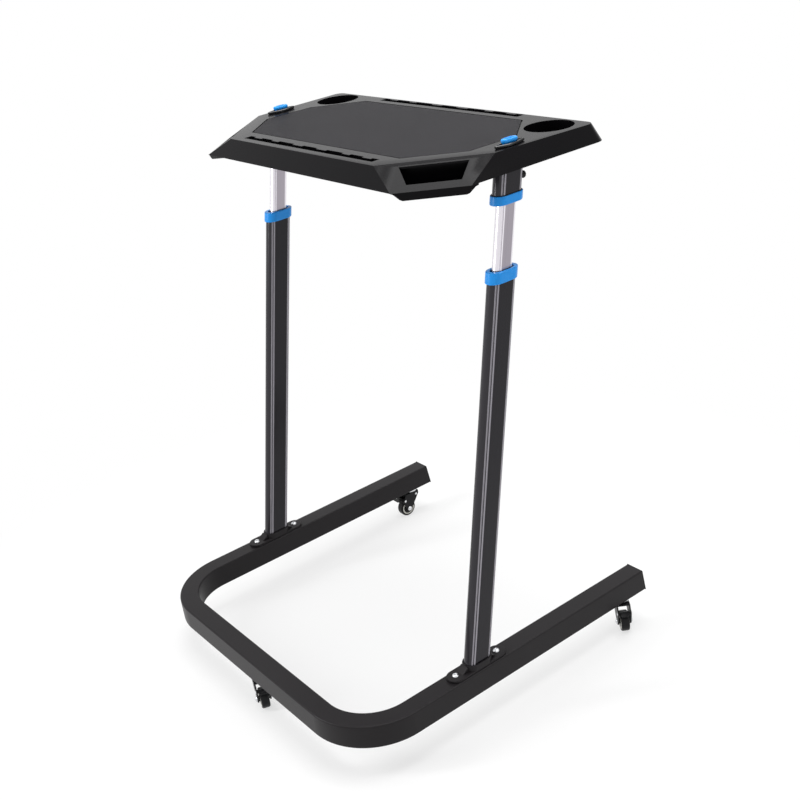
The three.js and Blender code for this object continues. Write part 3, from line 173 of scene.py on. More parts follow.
soft_light("front_light", (-1.4, -2.6, 2.1), target=(0, 0, 0.6), size=(0.5, 2.4), power=62)
soft_light("side_light", (3.0, 1.4, 1.8), target=(0, 0, 0.6), size=(0.8, 2.2), power=10)
soft_light("top_light", (0.2, 0.6, 3.4), target=(0, 0, 0.4), size=(2.4, 2.4), power=95)


def banded(finish, mask, low, high):
    """Stretches a mask so that low becomes 0 and high becomes 1."""
    return finish.node("ShaderNodeMapRange", None, {0: mask, 1: low, 2: high})


sheet = bmesh.new()
bmesh.ops.create_grid(sheet, x_segments=1, y_segments=1, size=FLOOR_SIZE)
floor_mesh = bpy.data.meshes.new("floor")
sheet.to_mesh(floor_mesh)
sheet.free()
floor = bpy.data.objects.new("floor", floor_mesh)
bpy.context.scene.collection.objects.link(floor)
pale = Finish("floor")
matt = pale.node("ShaderNodeBsdfDiffuse", None, {"Color": (*FLOOR_COLOUR, 1.0)})
glow = pale.node("ShaderNodeEmission", None, {"Color": (*WHITE, 1.0), "Strength": 1.0})
away = pale.node(
    "ShaderNodeVectorMath", {"operation": "LENGTH"},
    {0: pale.node("ShaderNodeTexCoord", output="Object")}, output="Value",
)
near = 1 - banded(pale, away, SHADOW_NEAR, SHADOW_FAR)
share = pale.seen() * (1 - FLOOR_SHADOW * near)
floor_mesh.materials.append(
    pale.end(pale.node("ShaderNodeMixShader", None, {0: share, 1: matt, 2: glow}))
)

# Base frame: one rectangular steel tube, bent at two corners and cut off aslant at
# both ends. It is powder coated in satin black, with a fine orange peel.
BASE_TUBE_WIDTH = 0.042
BASE_TUBE_WALL = 0.002
BASE_TUBE_EDGE = 0.0035
BASE_BEND = 0.119
BASE_BEND_STEPS = 32
LEG_END_SLANT = 0.008
MERGE_DISTANCE = 1e-6
FLAT_ANGLE = math.radians(0.4)
EDGE_ANGLE = math.radians(35)
SHARP_ANGLE = math.radians(32)
BODY_OF = {
    node: body
    for body, nodes in frame["record"]["behaviour"]["bodies"].items()
    for node in nodes
}


def principled(finish, colour, roughness, metallic=0.0, **more):
    """Ends a finish with one Principled shader."""
    sockets = {"Base Color": colour, "Roughness": roughness, "Metallic": metallic}
    sockets.update({key.replace("_", " "): value for key, value in more.items()})
    return finish.end(finish.node("ShaderNodeBsdfPrincipled", None, sockets))


def place_of(finish, stretch=(1, 1, 1), lean=0.0):
    """Object coordinates, turned about X by an angle and then stretched."""
    at = finish.node("ShaderNodeTexCoord", output="Object")
    return finish.node(
        "ShaderNodeMapping",
        {"vector_type": "TEXTURE"},
        {"Vector": at, "Rotation": (lean, 0, 0), "Scale": stretch},
    )


def grain(finish, scale, detail=2.0, **where):
    """Noise from 0 to 1, with scale as waves to the metre."""
    return finish.node(
        "ShaderNodeTexNoise",
        None,
        {"Vector": place_of(finish, **where), "Scale": scale, "Detail": detail},
    )


def between(finish, dark, light, mask):
    """A colour that goes from dark to light as the mask goes from 0 to 1."""
    dark, light = [c if isinstance(c, Wire) else (*c, 1.0) for c in (dark, light)]
    return finish.node(
        "ShaderNodeMix", {"data_type": "RGBA"}, {0: mask, 6: dark, 7: light}, output=2
    )


def bumped(finish, height, strength, depth):
    """Normals of a surface that stands out by a depth where the height is 1."""
    return finish.node(
        "ShaderNodeBump", None, {"Height": height, "Strength": strength, "Distance": depth}
    )


def powder_coat():
    finish = Finish("satin_powder_coat")
    dark, light = (0.0115, 0.0102, 0.0112), (0.0175, 0.0155, 0.017)
    peel = grain(finish, scale=900)
    return principled(
        finish,
        colour=between(finish, dark, light, grain(finish, scale=7)),
        roughness=0.3 + 0.12 * peel,
        Normal=bumped(finish, peel, strength=0.3, depth=0.0002),
        Specular_IOR_Level=0.14,
    )


def corners_of(points):
    """Lowest and highest corner of some points."""
    return [Vector([pick(p[i] for p in points) for i in range(3)]) for pick in (min, max)]


def sealed(bm):
    """Merges what meets, and turns every face outwards."""
    bmesh.ops.remove_doubles(bm, verts=bm.verts, dist=MERGE_DISTANCE)
    bmesh.ops.dissolve_degenerate(bm, dist=MERGE_DISTANCE, edges=bm.edges)
    bmesh.ops.recalc_face_normals(bm, faces=bm.faces)
    return bm


def keep(name, bm, material, *nodes, body=None, slot=None, wall=None, sharp=SHARP_ANGLE):
    """Makes a finished piece of a bmesh, and lets it stand for CAD nodes."""
    mesh = bpy.data.meshes.new(name)
    bm.to_mesh(mesh)
    bm.free()
    mesh.shade_smooth()
    mesh.set_sharp_from_angle(angle=sharp)
    mesh.materials.append(material)
    made = bpy.data.objects.new(name, mesh)
    bpy.context.scene.collection.objects.link(made)
    if wall:
        skin = made.modifiers.new("wall", "SOLIDIFY")
        skin.thickness, skin.offset, skin.use_even_offset = wall, -1, True
    level = made.modifiers.new("level_faces", "WEIGHTED_NORMAL")
    level.keep_sharp = True
    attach(made, body or BODY_OF[nodes[0]])
    if nodes:
        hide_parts(*nodes)


def solid_of(node):
    """A merged copy of a CAD node, with its flat faces whole."""
    bm = bmesh.new()
    bm.from_mesh(frame["nodes"][node].data)
    bmesh.ops.remove_doubles(bm, verts=bm.verts, dist=MERGE_DISTANCE)
    bmesh.ops.dissolve_limit(bm, angle_limit=FLAT_ANGLE, verts=bm.verts, edges=bm.edges)
    return bm


def soften(bm, radius, segments=2, over=EDGE_ANGLE):
    """Rounds each edge that is sharper than an angle."""
    edges = [
        e for e in bm.edges if len(e.link_faces) == 2 and abs(e.calc_face_angle(0)) > over
    ]
    bmesh.ops.bevel(
        bm, geom=edges, offset=radius, offset_type="OFFSET", segments=segments,
        profile=0.5, affect="EDGES", clamp_overlap=True, material=-1,
    )
    return bm


def moved(bm, matrix):
    bmesh.ops.transform(bm, verts=bm.verts, matrix=matrix)
    return bm


def only(kind, geom):
    """The verts, or the edges, among what a bmesh operator made."""
    return [g for g in geom if isinstance(g, kind)]


def cut_off(bm, spot, way):
    """Takes away what lies beyond a plane, and returns the edges of the cut."""
    made = bmesh.ops.bisect_plane(
        bm, geom=bm.verts[:] + bm.edges[:] + bm.faces[:], plane_co=spot, plane_no=way,
        clear_outer=True,
    )["geom_cut"]
    return only(bmesh.types.BMEdge, made)


def drawn(bm, edges):
    """Extrudes a loop of edges in place: returns its new corners and the new loop."""
    made = bmesh.ops.extrude_edge_only(bm, edges=edges)["geom"]
    corners = only(bmesh.types.BMVert, made)
    fresh = set(corners)
    return corners, [e for e in only(bmesh.types.BMEdge, made) if fresh.issuperset(e.verts)]


def run(bm, edges, way):
    """Carries a loop of edges along a straight way, and returns its far end."""
    corners, far = drawn(bm, edges)
    bmesh.ops.translate(bm, verts=corners, vec=way)
    return far


def bend(bm, edges, centre):
    """Carries a loop of edges round a quarter turn, and returns its far end."""
    corners = list(dict.fromkeys(v for e in edges for v in e.verts))
    made = bmesh.ops.spin(
        bm, geom=corners + edges, cent=centre, axis=(0, 0, 1), angle=math.pi / 2,
        steps=BASE_BEND_STEPS,
    )["geom_last"]
    return only(bmesh.types.BMEdge, made)


def base_tube():
    low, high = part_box("base_frame")
    leg = high.x - BASE_TUBE_WIDTH / 2
    front = low.y + BASE_TUBE_WIDTH / 2
    bm = bmesh.new()
    section = bmesh.ops.create_grid(bm, x_segments=1, y_segments=1, size=0.5)["verts"]
    bmesh.ops.scale(bm, verts=section, vec=(BASE_TUBE_WIDTH, high.z - low.z, 1))
    bmesh.ops.bevel(
        bm, geom=section, offset=BASE_TUBE_EDGE, offset_type="OFFSET", segments=4,
        profile=0.5, affect="VERTICES", material=-1,
    )
    stand = Matrix.Rotation(math.pi / 2, 4, "X")
    moved(bm, Matrix.Translation((-leg, high.y, (low.z + high.z) / 2)) @ stand)
    bmesh.ops.delete(bm, geom=bm.faces[:], context="FACES_ONLY")
    corner_x, corner_y = leg - BASE_BEND, front + BASE_BEND
    end = run(bm, bm.edges[:], (0, corner_y - high.y, 0))
    end = bend(bm, end, (-corner_x, corner_y, 0))
    end = run(bm, end, (2 * corner_x, 0, 0))
    end = bend(bm, end, (corner_x, corner_y, 0))
    run(bm, end, (0, high.y - corner_y, 0))
    cut_off(sealed(bm), (0, high.y, low.z), (0, high.z - low.z, LEG_END_SLANT))
    return bm


COAT = powder_coat()
keep("base_tube", base_tube(), COAT, "base_frame", wall=BASE_TUBE_WALL)

# Leg end caps: black moulded plugs, pushed into the slanted ends of both legs.
# Their cover plates have softly rounded rims.
SIDES = ("left", "right")
CAP_EDGE = 0.0008
PLASTIC_SPREAD = 0.12


def plastic(name, dark, light, roughness, depth=0.00015, shine=0.14):
    """Moulded plastic with a fine spark-eroded grain."""
    finish = Finish(name)
    pits = grain(finish, scale=1600, detail=3)
    return principled(
        finish,
        colour=between(finish, dark, light, grain(finish, scale=11)),
        roughness=roughness - PLASTIC_SPREAD / 2 + PLASTIC_SPREAD * pits,
        Normal=bumped(finish, pits, strength=0.35, depth=depth),
        Specular_IOR_Level=shine,
    )


BLACK = plastic(
    "satin_black_plastic", (0.008, 0.008, 0.0088), (0.013, 0.013, 0.0145), roughness=0.38
)
for name in SIDES:
    node = name + "_leg_end_cap"
    keep(name + "_end_plug", soften(solid_of(node), CAP_EDGE), BLACK, node)

# Foot brackets: cast feet with a socket that leans with the post, a gusset at
# each end of the socket and a bolt hole in each rounded end of the plate.
OVAL_STEPS = 96
FOOT_WIDTH, FOOT_PLATE = 0.036, 0.005
FOOT_SOCKET_WALL, FOOT_SOCKET_HEIGHT = 0.0032, 0.011
FOOT_GUSSET_WIDTH, FOOT_GUSSET_REACH, FOOT_GUSSET_TOE = 0.02, 0.012, 0.00125
FOOT_EDGE = 0.0012
FIT_GAP = 0.0003
RIM_ANGLE = math.radians(60)
JOINTS = {joint["name"]: joint for joint in frame["joints"]}
SLIDE_AXIS = JOINTS["desk_height"]["axis"]
LEAN = math.atan2(SLIDE_AXIS[1], SLIDE_AXIS[2])


def seat_on(node, height):
    """Where the middle of a CAD node's outline stands, at a height."""
    low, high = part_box(node)
    return Matrix.Translation(((low.x + high.x) / 2, (low.y + high.y) / 2, height))


def post_frame(name):
    """Where a post's own axes stand: its foot on the leg, and Z along the post."""
    stand = seat_on(name + "_foot_bracket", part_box("base_frame")[1].z)
    return stand @ Matrix.Rotation(-LEAN, 4, "X")


def level_frame(name):
    """The same axes with X and Y level, for pieces that are cut off level."""
    lean = Matrix.Diagonal((1, 1 / math.cos(LEAN), 1, 1))
    lean[1][2] = math.tan(LEAN)
    return Matrix.Translation(post_frame(name).to_translation()) @ lean


def span(node, into):
    """Lowest and highest corner of a CAD node, in a frame of its own."""
    inverse = into.inverted()
    return corners_of([inverse @ v.co for v in frame["nodes"][node].data.vertices])


def ring(bm, radius, stretch, height, **more):
    """A circle of edges at a height, drawn apart along Y into a flat oval."""
    turn = Matrix.Rotation(math.pi / OVAL_STEPS, 4, "Z")
    made = bmesh.ops.create_circle(
        bm, segments=OVAL_STEPS, radius=radius,
        matrix=Matrix.Translation((0, 0, height)) @ turn, **more,
    )["verts"]
    for v in made:
        v.co.y += math.copysign(stretch, v.co.y)
    return made


def oval_wall(size, profile, groove=None):
    """A closed wall round a flat oval, from (inset, height) points.

    A groove is (angle, half width, depth): it is cut into every point with no inset.
    """
    bm = bmesh.new()
    stretch = (size.y - size.x) / 2
    ways = {}
    for v in ring(bm, size.x / 2, stretch, 0):
        out = Vector((v.co.x, v.co.y - math.copysign(stretch, v.co.y), 0)).normalized()
        ways[v] = (Vector((0, v.co.y - out.y * size.x / 2, 0)), out)
    edges = bm.edges[:]
    for step, (inset, height) in enumerate([*profile, profile[0]]):
        if step:
            corners, edges = drawn(bm, edges)
            behind = {}
            for v in corners:
                for e in v.link_edges:
                    other = e.other_vert(v)
                    if other in ways:
                        behind[v] = ways[other]
            ways = behind
        for v, (hub, out) in ways.items():
            reach = size.x / 2 - inset
            if groove and inset == 0:
                angle, half, sunk = groove
                if abs(math.atan2(abs(out.y), abs(out.x)) - angle) < half:
                    reach -= sunk
            v.co = hub + out * reach + Vector((0, 0, height))
    return sealed(bm)


def level_end(bm, level, up):
    """Cuts a closed wall off at a level, and closes the cut between its rims."""
    bmesh.ops.bridge_loops(bm, edges=cut_off(bm, (0, 0, level), (0, 0, up)))
    bmesh.ops.recalc_face_normals(bm, faces=bm.faces)
    return bm


def raised(bm, height):
    """Extrudes the level faces of a bmesh into a closed solid."""
    made = bmesh.ops.extrude_face_region(bm, geom=bm.faces[:])["geom"]
    bmesh.ops.translate(bm, verts=only(bmesh.types.BMVert, made), vec=(0, 0, height))
    return sealed(bm)


def together(*parts):
    """One bmesh that holds the shells of several."""
    whole = bmesh.new()
    for part in parts:
        loose = bpy.data.meshes.new("loose")
        part.to_mesh(loose)
        part.free()
        whole.from_mesh(loose)
        bpy.data.meshes.remove(loose)
    return whole


def block(middle, size):
    """A cuboid about a point."""
    bm = bmesh.new()
    bmesh.ops.create_cube(bm, size=1)
    return moved(bm, Matrix.Translation(middle) @ Matrix.Diagonal((*size, 1)))


def gusset(end, start, reach, low, high):
    """A wedge that leans on the socket's end."""
    middle = Vector((0, end * (start + reach) / 2, (low + high) / 2))
    bm = block(middle, (FOOT_GUSSET_WIDTH, reach - start, high - low))
    for v in bm.verts:
        if v.co.z > middle.z and v.co.y * end > middle.y * end:
            v.co.z = low + FOOT_GUSSET_TOE
    return soften(bm, FOOT_EDGE)


def foot(name):
    low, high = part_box(name + "_foot_bracket")
    seat = seat_on(name + "_foot_bracket", low.z)
    plate = bmesh.new()
    ring(plate, FOOT_WIDTH / 2, (high.y - low.y - FOOT_WIDTH) / 2, 0, cap_ends=True)
    soften(raised(plate, FOOT_PLATE), FOOT_EDGE, over=RIM_ANGLE)
    leaning = post_frame(name)
    tube_low, tube_high = span(name + "_outer_tube", leaning)
    size = tube_high - tube_low
    wall, gap, tall = FOOT_SOCKET_WALL, FIT_GAP, size.y
    socket = oval_wall(size, [(-wall, -tall), (-wall, tall), (-gap, tall), (-gap, -tall)])
    moved(socket, seat.inverted() @ leaning)
    bottom, top = FOOT_PLATE / 2, FOOT_PLATE + FOOT_SOCKET_HEIGHT
    level_end(socket, top, 1)
    level_end(socket, bottom, -1)
    soften(socket, FOOT_EDGE / 2, over=RIM_ANGLE)
    reach = size.y / 2 + wall + FOOT_GUSSET_REACH
    wedges = [gusset(end, size.y / 2, reach, bottom, top - FOOT_EDGE) for end in (-1, 1)]
    return moved(together(plate, socket, *wedges), seat)


for name in SIDES:
    keep(name + "_foot", foot(name), COAT, name + "_foot_bracket")

# Foot bolts: button heads of bright zinc plate with a hexagon socket, two to a
# foot, screwed down through the plate into the leg.
BOLT_STEPS = 48
BOLT_HEAD, BOLT_DOME = 0.0065, 0.0042
BOLT_SOCKET, BOLT_SOCKET_DEPTH = 0.0022, 0.0018
BOLT_LIP, BOLT_LIP_HEIGHT = 0.00253, 0.0003
BOLT_CROWN_HOLE = 0.00275
BOLT_TOLERANCE = 1e-5
HEXAGON_HALF_SIDE = math.pi / 6
DOME_STEPS = 8


def turned(profile, steps=BOLT_STEPS):
    """A turned piece about Z from (radius, height) points.

    The points start and end on the axis, or else they close on themselves.
    """
    bm = bmesh.new()
    points = [bm.verts.new((radius, 0, height)) for radius, height in profile]
    pairs = list(zip(points, points[1:]))
    if profile[0][0] > 0:
        pairs.append((points[-1], points[0]))
    edges = [bm.edges.new(pair) for pair in pairs]
    bmesh.ops.spin(
        bm, geom=points + edges, cent=(0, 0, 0), axis=(0, 0, 1), angle=2 * math.pi,
        steps=steps, use_merge=True,
    )
    return sealed(bm)


def quarter(radius, height):
    """Points of a quarter dome, from its rim to near its crown."""
    turns = [i / DOME_STEPS * math.pi / 2 for i in range(DOME_STEPS)]
    return [(radius * math.cos(a), height * math.sin(a)) for a in turns]


def zinc():
    finish = Finish("bright_zinc")
    cloud = grain(finish, scale=160, detail=4)
    return principled(
        finish,
        colour=between(finish, (0.55, 0.56, 0.58), (0.78, 0.79, 0.81), cloud),
        roughness=0.2 + 0.16 * cloud,
        metallic=1.0,
    )


def button_head(radius, dome, length, shank):
    """A domed screw about Z whose head sits on z = 0."""
    crown = [p for p in quarter(radius, dome) if p[0] > BOLT_CROWN_HOLE]
    top = dome * math.sqrt(1 - (BOLT_LIP / radius) ** 2)
    bm = turned([
        (0, -length), (shank, -length), (shank, 0), *crown, (BOLT_LIP, top),
        (BOLT_SOCKET, top - BOLT_LIP_HEIGHT), (BOLT_SOCKET, top - BOLT_SOCKET_DEPTH),
        (0, top - BOLT_SOCKET_DEPTH),
    ])
    for v in bm.verts:
        if abs(math.hypot(v.co.x, v.co.y) - BOLT_SOCKET) < BOLT_TOLERANCE and v.co.z > 0:
            turn = math.atan2(v.co.y, v.co.x) % (2 * HEXAGON_HALF_SIDE) - HEXAGON_HALF_SIDE
            v.co.xy = v.co.xy * (math.cos(HEXAGON_HALF_SIDE) / math.cos(turn))
    return bm


ZINC = zinc()
for name in SIDES:
    head_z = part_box(name + "_foot_bracket")[0].z + FOOT_PLATE
    for end in ("front", "back"):
        node = f"{name}_foot_bolt_{end}"
        bolt = button_head(BOLT_HEAD, BOLT_DOME, head_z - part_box(node)[0].z, BOLT_HEAD / 2)
        keep(f"{name}_{end}_foot_screw", moved(bolt, seat_on(node, head_z)), ZINC, node)

# Outer tubes: black anodised extrusions of flat oval section. Each nose has two
# grooves along its whole length, with painted highlights along their lips.
TUBE_WALL = 0.0018
TUBE_EDGE = 0.0004
GROOVE_ANGLE, GROOVE_HALF_WIDTH = math.radians(30), math.radians(5)
GROOVE_DEPTH = 0.001
HIGHLIGHT_SHARES = (0.04, 0.1, 0.02)
POST_X = sum(p.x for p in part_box("right_outer_tube")) / 2


def blended(first, second, share):
    """A share of one mask and, for the rest, another."""
    return first * share + second * (1 - share)


def extruded(name, node, dark, light, highlight_colour, roughness, metallic, streak, nose_highlight):
    """Extruded metal, with die lines along the posts and painted highlights on groove lips.

    The streak is half the spread of the roughness, and the nose highlight is how much
    of the painted highlight colour lies between the two grooves.
    """
    finish = Finish(name)
    lines = grain(finish, scale=900, detail=4, stretch=(1, 1, 500), lean=-LEAN)
    cloud = grain(finish, scale=9, stretch=(1, 1, 6), lean=-LEAN)
    x = finish.node("ShaderNodeSeparateXYZ", None, {0: place_of(finish)})
    across = (x.sum("ABSOLUTE") - POST_X).sum("ABSOLUTE")
    low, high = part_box(node)
    radius = (high.x - low.x) / 2
    start, stop, fade = [share * radius for share in HIGHLIGHT_SHARES]
    groove_x = radius * math.cos(GROOVE_ANGLE)
    off = (across - groove_x).sum("ABSOLUTE")
    beside = banded(finish, off, start, start + fade)
    beyond = banded(finish, off, stop, stop + fade)
    inner = 1 - banded(finish, across, groove_x - stop, groove_x - start)
    # Painted highlights: a pale stripe beside both lips of each groove, and a share of it over the nose between
    # the grooves.
    painted_highlight = (beside * (1 - beyond)).sum("MAXIMUM", inner * nose_highlight)
    plain = between(finish, dark, light, blended(lines, cloud, share=0.6))
    return principled(
        finish,
        colour=between(finish, plain, highlight_colour, painted_highlight),
        roughness=roughness - streak + 2 * streak * lines,
        metallic=metallic,
        Normal=bumped(finish, lines, strength=0.25, depth=0.00012),
        Specular_IOR_Level=0.3,
    )


def tube(node, into, wall):
    """A grooved, hollow extrusion in the place of a CAD node, in a post's frame."""
    low, high = span(node, into)
    bm = oval_wall(high - low, [
        (TUBE_EDGE, low.z), (0, low.z + TUBE_EDGE), (0, high.z - TUBE_EDGE),
        (TUBE_EDGE, high.z), (wall, high.z), (wall, low.z),
    ], (GROOVE_ANGLE, GROOVE_HALF_WIDTH, GROOVE_DEPTH))
    return moved(bm, into)


# Its pale second colour is painted highlight on the groove lips, and faintly on the nose.
BLACK_TUBE = extruded(
    "black_anodised", "right_outer_tube", dark=(0.009, 0.0083, 0.0106),
    light=(0.017, 0.0155, 0.02), highlight_colour=(0.32, 0.305, 0.34), roughness=0.22,
    metallic=0.25, streak=0.05, nose_highlight=0.05,
)
for name in SIDES:
    node = name + "_outer_tube"
    keep(name + "_post", tube(node, level_frame(name), TUBE_WALL), BLACK_TUBE, node)

# Lower collars: blue moulded caps, pushed over the tops of the outer tubes. They
# guide the aluminium tubes, and a thin black wiper seal lies on each of them.
COLLAR_WALL = 0.0028
COLLAR_EDGE = 0.0012
COLLAR_CAP = 0.006
ROUND_SHARE = 0.3
SEAL_WIDTH, SEAL_HEIGHT = 0.0011, 0.0008


def rounded_rim(height, sign):
    """Three points round a collar's rim, from its side to its end or back."""
    points = [
        (0, height - sign * COLLAR_EDGE),
        (COLLAR_EDGE * ROUND_SHARE, height - sign * COLLAR_EDGE * ROUND_SHARE),
        (COLLAR_EDGE, height),
    ]
    return points if sign > 0 else points[::-1]


def guide_inset(name, node):
    """How far in from a collar's outside the aluminium tube runs."""
    into = post_frame(name)
    return span(node, into)[1].x - span(name + "_inner_tube", into)[1].x - FIT_GAP


def collar(name, node, cap_on_top):
    """A cap round a post: its skirt wraps the tube and its cap guides the inner one."""
    into = level_frame(name)
    low, high = span(node, into)
    skin, guide = COLLAR_WALL, guide_inset(name, node)
    if cap_on_top:
        seat = high.z - COLLAR_CAP
        inside = [(guide, high.z), (guide, seat), (skin, seat), (skin, low.z)]
    else:
        seat = low.z + COLLAR_CAP
        inside = [(skin, high.z), (skin, seat), (guide, seat), (guide, low.z)]
    profile = [*rounded_rim(low.z, -1), *rounded_rim(high.z, 1), *inside]
    return moved(oval_wall(high - low, profile), into)


def band(name, node, wrapped, points):
    """A thin band on a collar's top, round the tube that another node shows."""
    into = level_frame(name)
    top = span(node, into)[1].z
    low, high = span(wrapped, into)
    bm = oval_wall(high - low, [(-out, top + up) for out, up in points])
    return moved(bm, into)


BLUE = plastic(
    "satin_blue_plastic", (0.007, 0.26, 0.75), (0.012, 0.29, 0.8), roughness=0.3,
    depth=0.0001, shine=0.3,
)
for name in SIDES:
    node = name + "_lower_collar"
    keep(name + "_post_cap", collar(name, node, cap_on_top=True), BLUE, node)
    seal = band(name, node, name + "_inner_tube", [
        (FIT_GAP, FIT_GAP), (FIT_GAP, SEAL_HEIGHT), (FIT_GAP + SEAL_WIDTH / 2, SEAL_HEIGHT),
        (FIT_GAP + SEAL_WIDTH, FIT_GAP),
    ])
    keep(name + "_wiper_seal", seal, BLACK, body="base", slot="black_plastic")

# Inner tubes: satin aluminium extrusions that slide in the outer ones. They carry
# the table, and have the same pair of grooves on each nose.
INNER_WALL = 0.0016
# Its near-white second colour is painted highlight on the groove lips and over most of each nose.
ALUMINIUM = extruded(
    "satin_aluminium", "right_inner_tube", dark=(0.31, 0.285, 0.325),
    light=(0.42, 0.39, 0.43), highlight_colour=(0.88, 0.85, 0.9), roughness=0.3,
    metallic=1.0, streak=0.06, nose_highlight=0.8,
)
for name in SIDES:
    node = name + "_inner_tube"
    slide = tube(node, post_frame(name), INNER_WALL)
    keep(name + "_slide", level_end(slide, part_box(node)[1].z, 1), ALUMINIUM, node)

# Upper sleeves: short pieces of the black extrusion, round the tops of the
# aluminium tubes. The clamp screws pass through their back noses.
for name in SIDES:
    node = name + "_upper_sleeve"
    keep(name + "_sleeve", tube(node, level_frame(name), TUBE_WALL), BLACK_TUBE, node)

# Upper collars: the same blue caps, upside down on the lower ends of the sleeves.
# A thin black bead of sealant fills the joint above them.
BEAD_HEIGHT = 0.0012
BEAD_OUT, BEAD_IN = 0.0014, 0.0001
for name in SIDES:
    node = name + "_upper_collar"
    keep(name + "_sleeve_cap", collar(name, node, cap_on_top=False), BLUE, node)
    bead = band(name, node, name + "_upper_sleeve", [
        (BEAD_OUT, 0), (BEAD_OUT, BEAD_HEIGHT / 2), (BEAD_OUT / 2, BEAD_HEIGHT),
        (-BEAD_IN, BEAD_HEIGHT), (-BEAD_IN, 0),
    ])
    keep(name + "_sleeve_bead", bead, BLACK, body="desk", slot="black_plastic")

# Clamp screws: ribbed black knobs behind the sleeves. Each is moulded on a short
# screw whose tip bears on the aluminium tube.
KNOB_RIBS = 12
KNOB_RIB_STEPS = 4
KNOB_VALLEY = 0.0007
KNOB_EDGE = 0.0008
KNOB_SHANK, KNOB_BITE = 0.0025, 0.001
KNOB_RIM_ANGLE, KNOB_SHARP_ANGLE = math.radians(80), math.radians(40)


def knob(name):
    into = post_frame(name)
    low, high = span(name + "_clamp_knob", into)
    radius = (high.x - low.x) / 2
    seat = span(name + "_upper_sleeve", into)[1].y + 2 * FIT_GAP
    grip = bmesh.new()
    count = KNOB_RIBS * KNOB_RIB_STEPS
    rim = bmesh.ops.create_circle(grip, cap_ends=True, segments=count, radius=radius)
    for i, v in enumerate(rim["verts"]):
        if i % KNOB_RIB_STEPS in (0, 1):
            v.co.xy = v.co.xy * (1 - KNOB_VALLEY / radius)
    soften(raised(grip, high.y - seat), KNOB_EDGE, segments=3, over=KNOB_RIM_ANGLE)
    tip = low.y - seat
    shank = turned([(0, tip), (KNOB_SHANK, tip), (KNOB_SHANK, KNOB_BITE), (0, KNOB_BITE)])
    about = Matrix.Rotation(-math.pi / 2, 4, "X")
    spot = Matrix.Translation(((low.x + high.x) / 2, seat, (low.z + high.z) / 2))
    return moved(together(grip, shank), into @ spot @ about)


for name in SIDES:
    node = name + "_clamp_knob"
    keep(name + "_clamp_screw", knob(name), BLACK, node, sharp=KNOB_SHARP_ANGLE)

# Inside the posts: a nylon guide on the foot of each aluminium tube, a nylon lock
# shoe in its window, and the plated release rod with its wedge and its spring.
NYLON = plastic("natural_nylon", (0.6, 0.59, 0.54), (0.68, 0.67, 0.62), roughness=0.45)
INSIDE = {
    "slide_guide": NYLON, "lock_shoe": NYLON, "release_rod": ZINC, "return_spring": ZINC,
}
for name in SIDES:
    for part, material in INSIDE.items():
        mesh = frame["nodes"][f"{name}_{part}"].data
        mesh.materials.clear()
        mesh.materials.append(material)

# Table brackets: glass-filled nylon blocks between the sleeves and the table. Each
# plugs into its sleeve, and two plated screws hold it up against the table.
BRACKET_EDGE = 0.001
SCREW_HEAD, SCREW_DOME = 0.0045, 0.0026
SCREW_SHANK = 0.002
for name in SIDES:
    node = name + "_table_bracket"
    keep(name + "_table_support", soften(solid_of(node), BRACKET_EDGE), BLACK, node)
    for count in (1, 2):
        node = f"{name}_bracket_screw_{count}"
        low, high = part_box(node)
        head_z = low.z + SCREW_DOME
        seat = seat_on(node, head_z) @ Matrix.Rotation(math.pi, 4, "X")
        screw = button_head(SCREW_HEAD, SCREW_DOME, high.z - head_z, SCREW_SHANK)
        keep(f"{name}_support_screw_{count}", moved(screw, seat), ZINC, node)

# Tabletop: one black injection moulding with a flared skirt, two cup wells, two
# finger pockets and two rows of device slots. Its skin is finely grained.
TABLE_EDGE = 0.0015


def pebbles(finish, scale):
    """Distance from the middle of each cell of a leather-like pattern."""
    return finish.node(
        "ShaderNodeTexVoronoi", None, {"Vector": place_of(finish), "Scale": scale}
    )


def moulding():
    finish = Finish("grained_black_moulding")
    dark, light = (0.0022, 0.0019, 0.0025), (0.0036, 0.0031, 0.004)
    fine = grain(finish, scale=1500, detail=3)
    relief = blended(pebbles(finish, scale=620), fine, share=0.7)
    return principled(
        finish,
        colour=between(finish, dark, light, grain(finish, scale=8)),
        roughness=0.17 + 0.12 * relief,
        Normal=bumped(finish, relief, strength=0.3, depth=0.00014),
        Specular_IOR_Level=0.08,
    )


keep("table_tray", soften(solid_of("tabletop"), TABLE_EDGE), moulding(), "tabletop")

# Mat: a thin rubbery sheet laid in the recess of the table. It is embossed with
# rows of small studs so that a laptop doesn't slide.
MAT_EDGE = 0.0007
MAT_GROOVE = 0.002
STUD_PITCH = 0.0032
STUD_FOOT, STUD_TOP = -0.1, 0.7


def studded():
    finish = Finish("studded_mat")
    dark, light = (0.002, 0.0018, 0.0024), (0.023, 0.0212, 0.0264)
    at = place_of(finish)
    beat = 2 * math.pi / STUD_PITCH
    waves = [
        (finish.node("ShaderNodeSeparateXYZ", None, {0: at}, output=axis) * beat).sum("SINE")
        for axis in (0, 1)
    ]
    studs = banded(finish, waves[0] * waves[1], STUD_FOOT, STUD_TOP)
    # Painted light and shade: the stud tops are painted lighter and the hollows between them darker, with a little
    # random tone mixed in.
    stud_shade_and_tone = blended(studs, grain(finish, scale=10), share=0.8)
    return principled(
        finish,
        colour=between(finish, dark, light, stud_shade_and_tone),
        roughness=0.6 - 0.14 * studs,
        Normal=bumped(finish, studs, strength=0.8, depth=0.0005),
        Specular_IOR_Level=0.1,
    )


def mat_sheet():
    """The sheet, drawn in a little on all sides so that a groove runs round it."""
    low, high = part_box("desk_mat")
    size, about = high - low, Matrix.Translation((low + high) / 2)
    shares = [1 - 2 * MAT_GROOVE / size.x, 1 - 2 * MAT_GROOVE / size.y, 1, 1]
    sheet = moved(solid_of("desk_mat"), about @ Matrix.Diagonal(shares) @ about.inverted())
    return soften(sheet, MAT_EDGE, over=RIM_ANGLE)


keep("grip_mat", mat_sheet(), studded(), "desk_mat")

